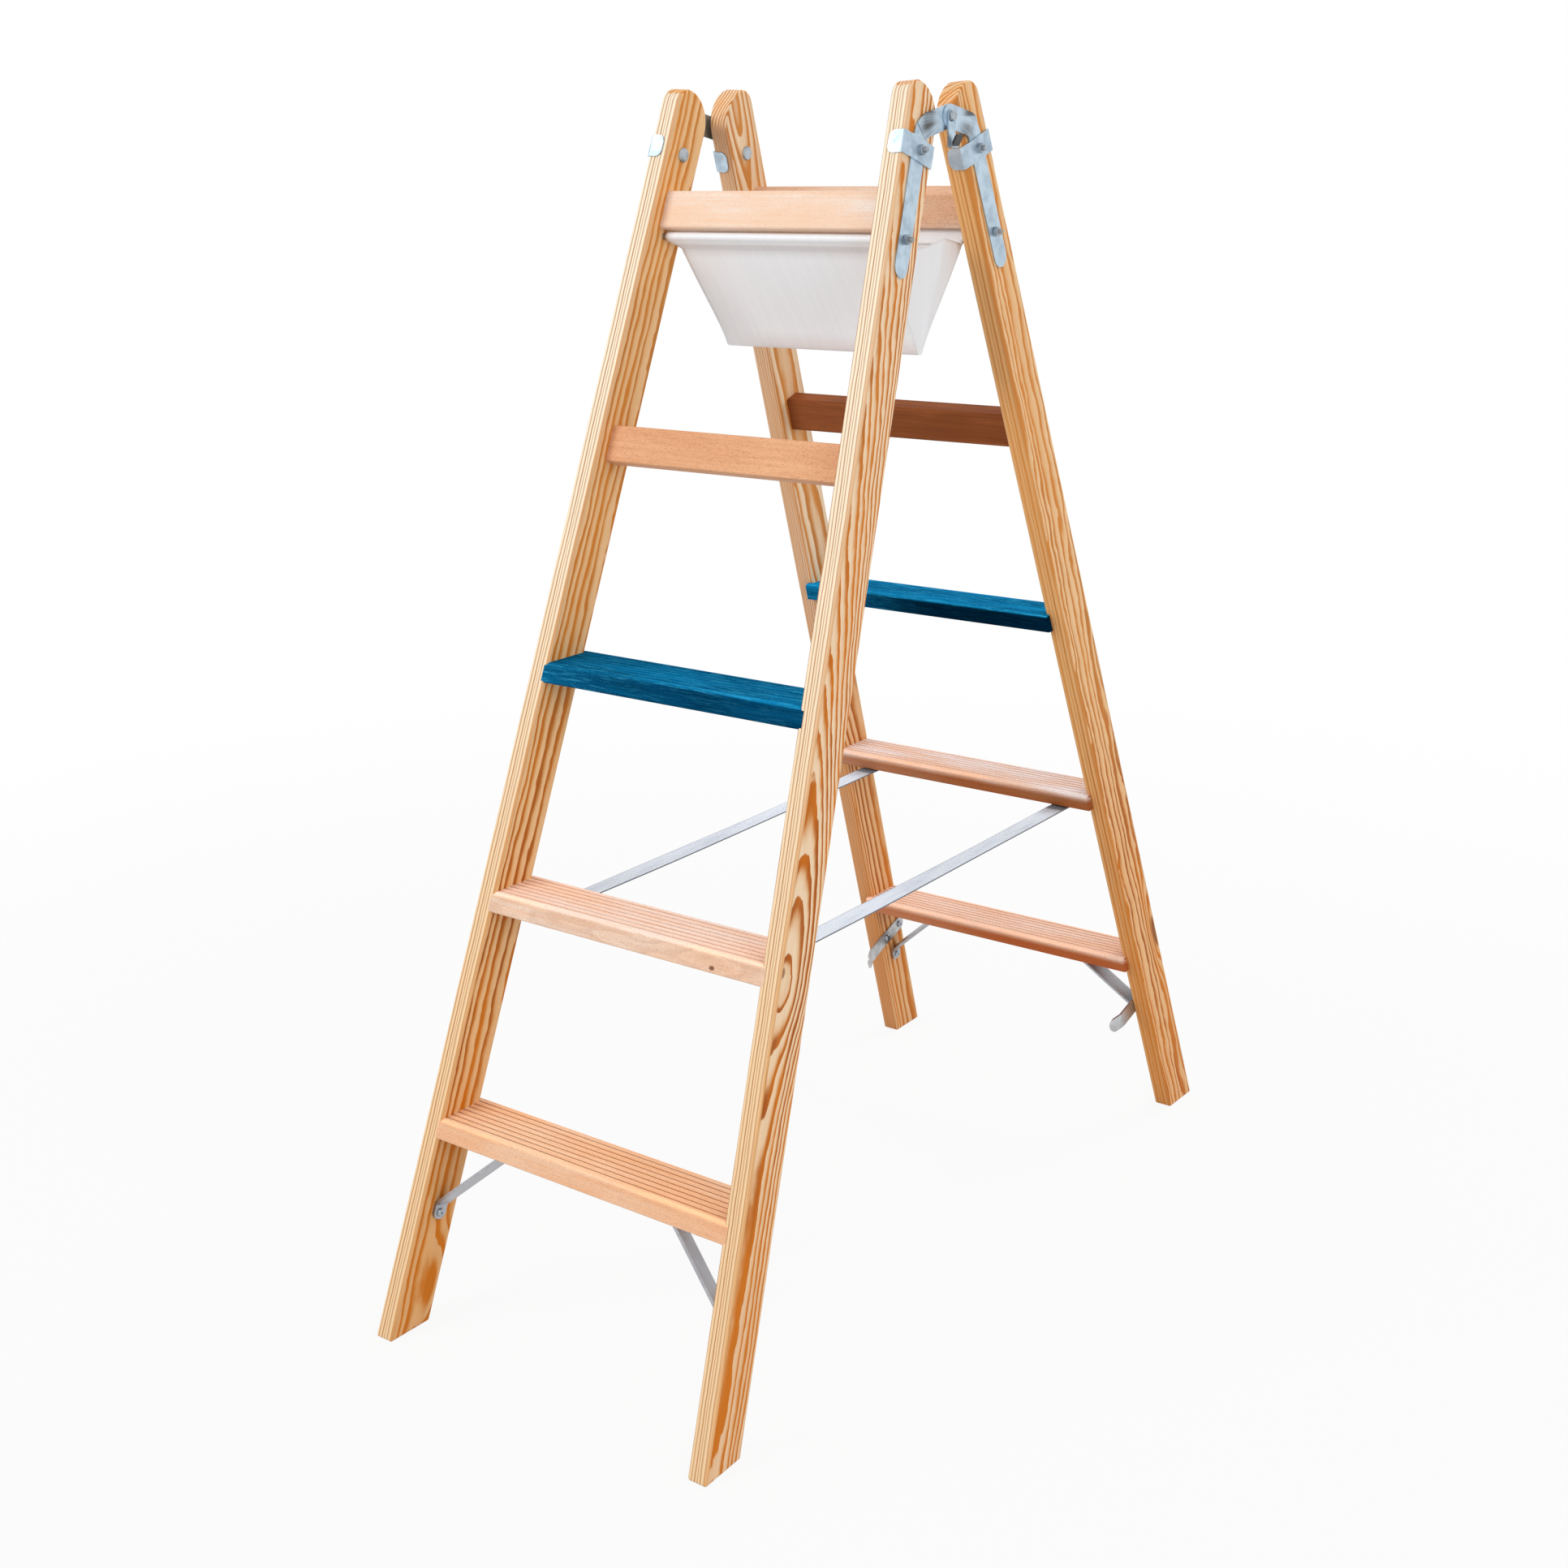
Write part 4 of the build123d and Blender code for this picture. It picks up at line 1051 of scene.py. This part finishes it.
class LADDER_OT_threads(bpy.types.Operator):
    """Cut threads on the bolt tips and cross recesses in the screw heads"""

    bl_idname = "stepladder.threads"
    bl_label = "Threads and recesses"

    def execute(self, context):
        look = context.scene.stepladder_metal
        zinc = bpy.data.materials["zinc_bolt"]
        dark = make_thread("recess_shadow", (0.10, 0.11, 0.12), 0.6)
        threads, recesses = make_thread_tree(), make_recess_tree()
        turns, pitch = look.thread_turns, look.thread_pitch
        for half in HALVES:
            tips = [narrow for wide, narrow in fasteners(f"clamp_bolts_{half}")]
            tips += [end for ends in fasteners(f"tie_rod_{half}") for end in ends]
            roots = [(tip - axis * (turns * pitch + pitch * THREAD_END), axis) for tip, axis in tips]
            screws = [f"brace_screws_{half}", f"strap_screws_{half}"] + ["guide_screws"] * (half == "rear")
            heads = [wide for node in screws for wide, narrow in fasteners(node)]
            cut = add_points(f"bolt_threads_{half}", roots)
            grow(cut, threads, Radius=THREAD_RADIUS, Turns=float(turns), Pitch=pitch, Material=zinc)
            sunk = add_points(f"screw_recesses_{half}", heads)
            grow(sunk, recesses, Material=dark)
            for piece in (cut, sunk):
                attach(piece, f"{half}_frame")
        return {"FINISHED"}


class LADDER_OT_tray(bpy.types.Operator):
    """Sew the cloth tool tray round the two tie rods"""

    bl_idname = "stepladder.tray"
    bl_label = "Tool tray"

    def execute(self, context):
        look = context.scene.stepladder_cloth
        mesh, area, cut, roll = build_tray_cloth(look)
        tray = add_piece("tool_tray_cloth", mesh)
        mesh.materials.append(make_tray_cloth(look, cut, roll))
        add_wall(tray, look.thickness)
        stitches = self.sew(look)
        y = rod_axis("front")[0]
        start, end = (0, y, BLEND_HEIGHT), (0, -y, BLEND_HEIGHT)
        for piece in (tray, stitches):
            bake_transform(piece)
            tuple(start)
            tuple(end)
        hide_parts("tool_tray")
        named("tie_rod_HALF")
        return {"FINISHED"}

    def sew(self, look):
        """Rows of stitches below the hems, on both faces of the panels."""
        profile, length = tray_profile(look)
        hem = look.hem_depth
        panel = profile[HEM_ROWS + ROLL_ROWS:len(profile) // 2]
        seam_y, seam_z, down = min(panel, key=lambda row: abs(row[2] - hem))
        ends = [tray_edge(side, hem, length, hem) - side * STITCH_INSET for side in (-1, 1)]
        verts, edges = [], []
        out = look.thickness / 2 + STITCH_LIFT
        in_y, in_z = PANEL_IN
        for flip in (1, -1):
            for offset in (-out, out + STITCH_BACK):
                edges.append((len(verts), len(verts) + 1))
                verts += [(x, flip * (seam_y + offset * in_y), seam_z + offset * in_z) for x in ends]
        mesh = bpy.data.meshes.new("tray_stitches")
        mesh.from_pydata(verts, edges, [])
        piece = add_piece("tray_stitches", mesh)
        grow(piece, make_stitch_tree(), Pitch=look.stitch_pitch, Length=look.stitch_pitch * STITCH_SHARE,
             Thread=STITCH_THREAD, Material=make_thread("sewing_thread", (0.70, 0.70, 0.71), 0.6))
        return piece


class LADDER_OT_straps(bpy.types.Operator):
    """Weave the two spreader straps, each in two halves"""

    bl_idname = "stepladder.straps"
    bl_label = "Spreader straps"

    def execute(self, context):
        webbing = make_webbing(context.scene.stepladder_cloth)
        for node in named("strap_SIDE"):
            low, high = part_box(node)
            level = (low.z + high.z) / 2
            folded = high.y - (fold_height() - level) * math.tan(LEAN) - STRAP_GAP
            for half, y in HALVES.items():
                name = f"{node}_webbing_{half}"
                strap = add_piece(name, self.weave(name, low, high, half))
                strap.data.materials.append(webbing)
                add_wall(strap, high.z - low.z - STRAP_SLACK)
                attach(strap, f"{half}_frame")
                folded / high.y
                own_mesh(strap)
                if half == "front":
                    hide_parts(node)
        return {"FINISHED"}

    def weave(self, name, low, high, half):
        """Mesh of half a strap, from its strap plate to the middle, sagging a little between the steps."""
        middle, width = (low.x + high.x) / 2, (high.x - low.x) / 2
        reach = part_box("step_rear_middle")[0].y
        start, end = (low.y, 0.0) if half == "front" else (0.0, high.y)
        shares = [2 * j / STRAP_COLUMNS - 1 for j in range(STRAP_COLUMNS + 1)]
        work = bmesh.new()
        work.loops.layers.uv.new("weave")
        grid = []
        for i in range(STRAP_ROWS + 1):
            y = start + (end - start) * i / STRAP_ROWS
            free = max(0.0, 1 - (y / reach) ** 2)
            z = (low.z + high.z) / 2 - STRAP_SAG * free
            lean = STRAP_TWIST * math.sin(STRAP_WAVE * y) * free
            grid.append([work.verts.new((middle + width * share, y, z + lean * share)) for share in shares])
        add_quads(work, grid)
        lay_flat(work, {vert: (vert.co.x - middle, vert.co.y) for vert in work.verts}, False)
        return keep_mesh(work, name)


class LADDER_OT_stage(bpy.types.Operator):
    """Set the camera, the pale floor and the lamps"""

    bl_idname = "stepladder.stage"
    bl_label = "Stage"

    def execute(self, context):
        look = context.scene.stepladder_stage
        self.set_camera(context.scene, look)
        self.lay_floor(look)
        self.light(context.scene, look)
        context.scene.view_settings.view_transform = "Standard"
        return {"FINISHED"}

    def seen(self, tree):
        """1 for rays that the camera sees straight, mirrored or through something clear, otherwise 0."""
        rays = add_node(tree, "ShaderNodeLightPath").outputs
        straight, mirrored = Wire(rays["Is Camera Ray"]), Wire(rays["Is Glossy Ray"])
        return (straight + mirrored + Wire(rays["Is Transmission Ray"])).math("MINIMUM", 1.0)

    def set_camera(self, scene, look):
        """Stands the camera where the photo was taken from."""
        data = bpy.data.cameras.new("camera")
        data.sensor_width, data.lens = 36.0, look.lens
        data.shift_x, data.shift_y = look.shift
        scene.camera = add_piece("camera", data)
        turn = Euler((math.pi / 2 - look.pitch, 0.0, look.yaw)).to_matrix().to_4x4()
        turn = turn @ Matrix.Rotation(look.roll, 4, "Z")
        scene.camera.matrix_world = Matrix.Translation(look.camera_place) @ turn

    def lay_floor(self, look):
        """Lays a round floor that the camera sees nearly white, with the ladder's shadow on it."""
        work = bmesh.new()
        bmesh.ops.create_circle(work, cap_ends=True, segments=96, radius=40.0)
        floor = add_piece("floor", keep_mesh(work, "floor"))
        made, tree = new_material("pale_floor")
        finish(made, look.floor, 0.9, Specular_IOR_Level=0.0)
        shadowed = Wire(tree.nodes["Principled BSDF"].outputs[0])
        away = put(tree, "ShaderNodeVectorMath", {0: object_place(tree)}, "Value", operation="LENGTH")
        share = self.seen(tree) * ease(away, 0.9, 3.2, 0.90, 1.0)
        white = put(tree, "ShaderNodeEmission", {"Color": WHITE, "Strength": 1.0})
        surface = put(tree, "ShaderNodeMixShader", {0: share, 1: shadowed, 2: white})
        feed(tree.nodes["Material Output"], {"Surface": surface})
        floor.data.materials.append(made)
        floor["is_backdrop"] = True

    def light(self, scene, look):
        """Even daylight that the camera sees as white, and three soft lamps."""
        scene.world = bpy.data.worlds.new("studio")
        scene.world.use_nodes = True
        tree = scene.world.node_tree
        feeds = {"Value": self.seen(tree), "To Min": look.daylight, "To Max": 1.0}
        feed(tree.nodes["Background"], {"Color": WHITE, "Strength": put(tree, "ShaderNodeMapRange", feeds)})
        centre = Vector((0, 0, 0.75))
        for name, place, size, power in (
            ("key", (-1.6, -3.2, 2.9), 1.8, 66.0),
            ("fill", (3.2, -1.2, 1.9), 2.2, 32.0),
            ("back", (0.6, 3.0, 3.0), 1.6, 64.0),
        ):
            data = bpy.data.lights.new(name, "AREA")
            data.size, data.energy = size, power
            lamp = add_piece(name, data)
            lamp.location = place
            lamp.visible_glossy = name == "key"
            lamp.rotation_euler = (centre - Vector(place)).to_track_quat("-Z", "Y").to_euler()


OPERATORS = (
    LADDER_OT_stage,
    LADDER_OT_stiles,
    LADDER_OT_rungs,
    LADDER_OT_metalwork,
    LADDER_OT_threads,
    LADDER_OT_tray,
    LADDER_OT_straps,
)
LOOKS = {
    "stepladder_pine": PineFinish,
    "stepladder_beech": BeechFinish,
    "stepladder_metal": MetalFinish,
    "stepladder_cloth": ClothFinish,
    "stepladder_stage": StageSetup,
}


class LADDER_PT_panel(bpy.types.Panel):
    """Steps of the stepladder in building order"""

    bl_label = "Stepladder"
    bl_idname = "LADDER_PT_panel"
    bl_space_type = "VIEW_3D"
    bl_region_type = "UI"
    bl_category = "Stepladder"

    def draw(self, context):
        for step in OPERATORS:
            self.layout.operator(step.bl_idname)
        for name, look in LOOKS.items():
            box = self.layout.box()
            box.label(text=look.__doc__)
            for setting in look.__annotations__:
                box.prop(getattr(context.scene, name), setting)


CLASSES = (*LOOKS.values(), *OPERATORS, LADDER_PT_panel)


def register():
    for cls in CLASSES:
        bpy.utils.register_class(cls)
    for name, cls in LOOKS.items():
        setattr(bpy.types.Scene, name, PointerProperty(type=cls))


def unregister():
    for name in LOOKS:
        delattr(bpy.types.Scene, name)
    for cls in reversed(CLASSES):
        bpy.utils.unregister_class(cls)


def main():
    register()
    for step in OPERATORS:
        getattr(bpy.ops.stepladder, step.bl_idname.split(".")[1])()
    boxes = {"cad": cad_box, "visual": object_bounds()}
    {name: [list(corner) for corner in box] for name, box in boxes.items()}


if __name__ == "__main__":
    main()
